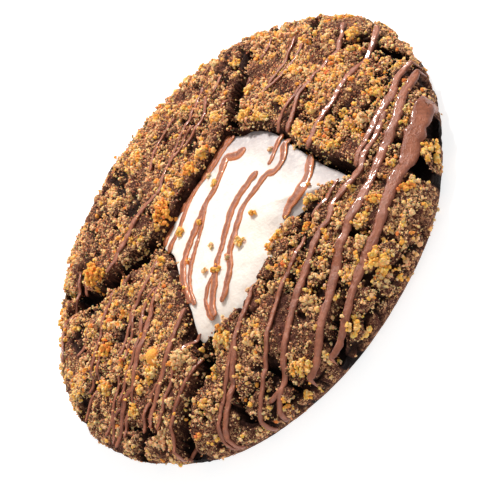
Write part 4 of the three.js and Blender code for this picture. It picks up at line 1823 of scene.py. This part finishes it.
@dataclass
class Marshmallow:
    """The soft white filling that has swollen up to the lip."""

    opening: Opening
    floor: float
    crown: float = 15.4
    around: int = 360
    top_rows: int = 60
    side_rows: int = 12
    dome_power: float = 3.0
    dome_rounding: float = 0.7
    row_crowding: float = 1.5
    tuck_in: float = 0.12
    crease_height: float = 0.34
    pucker_height: float = 0.1
    mesh: bpy.types.Mesh = field(init=False)

    def build(self) -> bpy.types.Object:
        """Makes the piece.

        Returns:
            The finished object.
        """
        side_end = self.top_rows + self.side_rows
        self.mesh = spun_skin(side_end + 2, self.around)
        row, angle = rings_of(self.mesh)
        reach = self.opening.reach(angle, 1)
        out = np.clip(row / self.top_rows, 0, 1)
        share = 1 - (1 - out) ** self.row_crowding
        down = np.clip((row - self.top_rows) / self.side_rows, 0, 1)
        narrow = np.where(row > self.top_rows, 1 - self.tuck_in * down**2, share)
        direction = np.column_stack([np.cos(angle), np.sin(angle)])
        points = np.zeros((len(row), 3))
        points[:, :2] = np.array(self.opening.centre) + direction * (reach * narrow)[:, None]
        border = self.opening.border_height(angle)
        fall = (1 - np.clip(share, 0, 1) ** self.dome_power) ** self.dome_rounding
        points[:, 2] = border + (self.crown - border) * fall
        low = row > self.top_rows
        points[low, 2] = (border + (self.floor - border) * down)[low]
        points[row == 0] = (*self.opening.centre, self.crown)
        points[row == side_end + 1] = (*self.opening.centre, self.floor)
        write_points(self.mesh, points)
        face_outwards(self.mesh)
        # Painted shadow: the attribute greys the border and side towards +X, where the lip casts its shade.
        damp = eased(0.5, 0.94, self.opening.share(points[:, 0], points[:, 1], 1)) * self._painted_shadow_share(angle)
        set_attribute(self.mesh, "damp", np.where(low, self._painted_shadow_share(angle), damp))
        creases = self.crease_height * rough(points, 9.0, 101, 3)
        soft = creases + self.pucker_height * rough(points, 2.4, 111, 2)
        soft *= eased(self.floor, self.floor + 3, points[:, 2])
        points += read_normals(self.mesh) * soft[:, None]
        write_points(self.mesh, points)
        return show("marshmallow_filling", self.mesh, MarshmallowFinish().make())

    @staticmethod
    def _painted_shadow_share(angle: np.ndarray) -> np.ndarray:
        """How much painted shadow greys the border in each direction: most on the side that faces +X."""
        apart = np.abs((angle + math.pi) % math.tau - math.pi)
        return 1 - eased(math.radians(50), math.radians(85), apart)


# ---- Studio ---------------------------------------------------------------------------------


@dataclass(frozen=True)
class Lamp:
    """A square soft light that points at the cookie: its place and side in millimetres, and its power."""

    name: str
    place: tuple[float, float, float]
    side: float
    watts: float
    colour: tuple[float, float, float]

    def build(self) -> None:
        """Hangs the light."""
        data = bpy.data.lights.new(self.name, "AREA")
        data.energy, data.color, data.size = self.watts, self.colour, self.side * MM
        lamp = bpy.data.objects.new(self.name, data)
        lamp.location = Vector(self.place) * MM
        lamp.rotation_euler = (-lamp.location).to_track_quat("-Z", "Y").to_euler()
        bpy.context.scene.collection.objects.link(lamp)


@dataclass(frozen=True)
class Studio:
    """Pale floor, soft lights and the camera."""

    lamps: tuple[Lamp, ...] = (
        Lamp("key", (240, 300, 405), side=90, watts=4.7, colour=(1.0, 0.97, 0.93)),
        Lamp("fill", (-320, -330, 420), side=380, watts=0.85, colour=(1.0, 0.98, 0.95)),
    )
    sky: float = 0.44
    floor_size: float = 6000.0
    floor_grey: float = 0.4
    floor_glow: float = 0.8
    focal_length: float = 200.0
    sensor_width: float = 36.0
    nearest: float = 0.01
    furthest: float = 20.0
    distance: float = 615.0
    target: tuple[float, float, float] = (-1.9, 0.0, 0.86)
    elevation: float = math.radians(36.44)
    roll: float = math.radians(-55.23)

    def build(self) -> None:
        """Sets up everything that isn't the object."""
        self._floor()
        world = bpy.data.worlds.new("studio")
        world.use_nodes = True
        background = world.node_tree.nodes["Background"]
        background.inputs["Color"].default_value = (1, 1, 1, 1)
        background.inputs["Strength"].default_value = self.sky
        bpy.context.scene.world = world
        for lamp in self.lamps:
            lamp.build()
        self._camera()
        bpy.context.scene.view_settings.view_transform = "Standard"

    def _floor(self) -> None:
        """A wide pale floor just under the cookie."""
        sheet = bmesh.new()
        bmesh.ops.create_grid(sheet, x_segments=1, y_segments=1, size=self.floor_size / 2 * MM)
        mesh = bpy.data.meshes.new("floor")
        sheet.to_mesh(mesh)
        sheet.free()
        finish = Finish("pale_floor")
        finish.set(Base_Color=(self.floor_grey, self.floor_grey, self.floor_grey, 1), Roughness=0.9)
        finish.set(Emission_Color=(1, 1, 1, 1), Emission_Strength=self.floor_glow)
        show("floor", mesh, finish.material, smooth=False)

    def _camera(self) -> None:
        """Looks at the cookie from the near side, turned about its line of sight."""
        data = bpy.data.cameras.new("camera")
        data.lens, data.sensor_width = self.focal_length, self.sensor_width
        data.clip_start, data.clip_end = self.nearest, self.furthest
        camera = bpy.data.objects.new("camera", data)
        back = Vector((0, -math.cos(self.elevation), math.sin(self.elevation)))
        up = Vector((0, math.sin(self.elevation), math.cos(self.elevation)))
        level = Matrix((Vector((1, 0, 0)), up, back)).transposed()
        place = (Vector(self.target) + back * self.distance) * MM
        turned = level @ Matrix.Rotation(self.roll, 3, "Z")
        camera.matrix_world = Matrix.Translation(place) @ turned.to_4x4()
        bpy.context.scene.collection.objects.link(camera)
        bpy.context.scene.camera = camera


# ---- Whole ----------------------------------------------------------------------------------


def place(piece: bpy.types.Object, node: str, slot: str) -> None:
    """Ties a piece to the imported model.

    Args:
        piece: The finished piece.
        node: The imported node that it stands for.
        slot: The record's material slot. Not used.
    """
    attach(piece, BODY)
    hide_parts(node)
    LOG.info("%s: %d faces", piece.name, len(piece.data.polygons))


def main() -> None:
    """Builds the cookie from the dough up."""
    logging.basicConfig(level=logging.INFO, format="%(message)s")
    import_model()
    form, opening = CookieForm.from_frame(), Opening()
    draw = np.random.default_rng(7)

    dough = Dough(form, opening)
    place(dough.build(), "cookie", "chocolate_dough")
    filling = Marshmallow(opening, floor=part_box("marshmallow")[0].z / MM)
    place(filling.build(), "marshmallow", "marshmallow")

    ground = Ground(form, (dough.mesh, filling.mesh))
    cookie_drizzle = Drizzle("cookie_drizzle", COOKIE_STRANDS, ground, CHOCOLATE_ON_COOKIE)
    place(cookie_drizzle.build(), "cookie", "milk_chocolate")
    filling_drizzle = Drizzle(
        "filling_drizzle", FILLING_STRANDS, ground, CHOCOLATE_ON_FILLING, lift=0.04, bumps=0.03, spread=1.05
    )
    place(filling_drizzle.build(), "marshmallow", "milk_chocolate")

    for piece in CrumbCoat(dough, Ground(form, (dough.mesh,)), cookie_drizzle).build():
        place(piece, "cookie", "biscuit_crumb")
    sprinkled = Grains.together([heap_up(clump, ground, draw) for clump in FILLING_CLUMPS])
    place(sprinkled.show("filling_crumbs", 1, draw), "marshmallow", "biscuit_crumb")

    Studio().build()


if __name__ == "__main__":
    main()
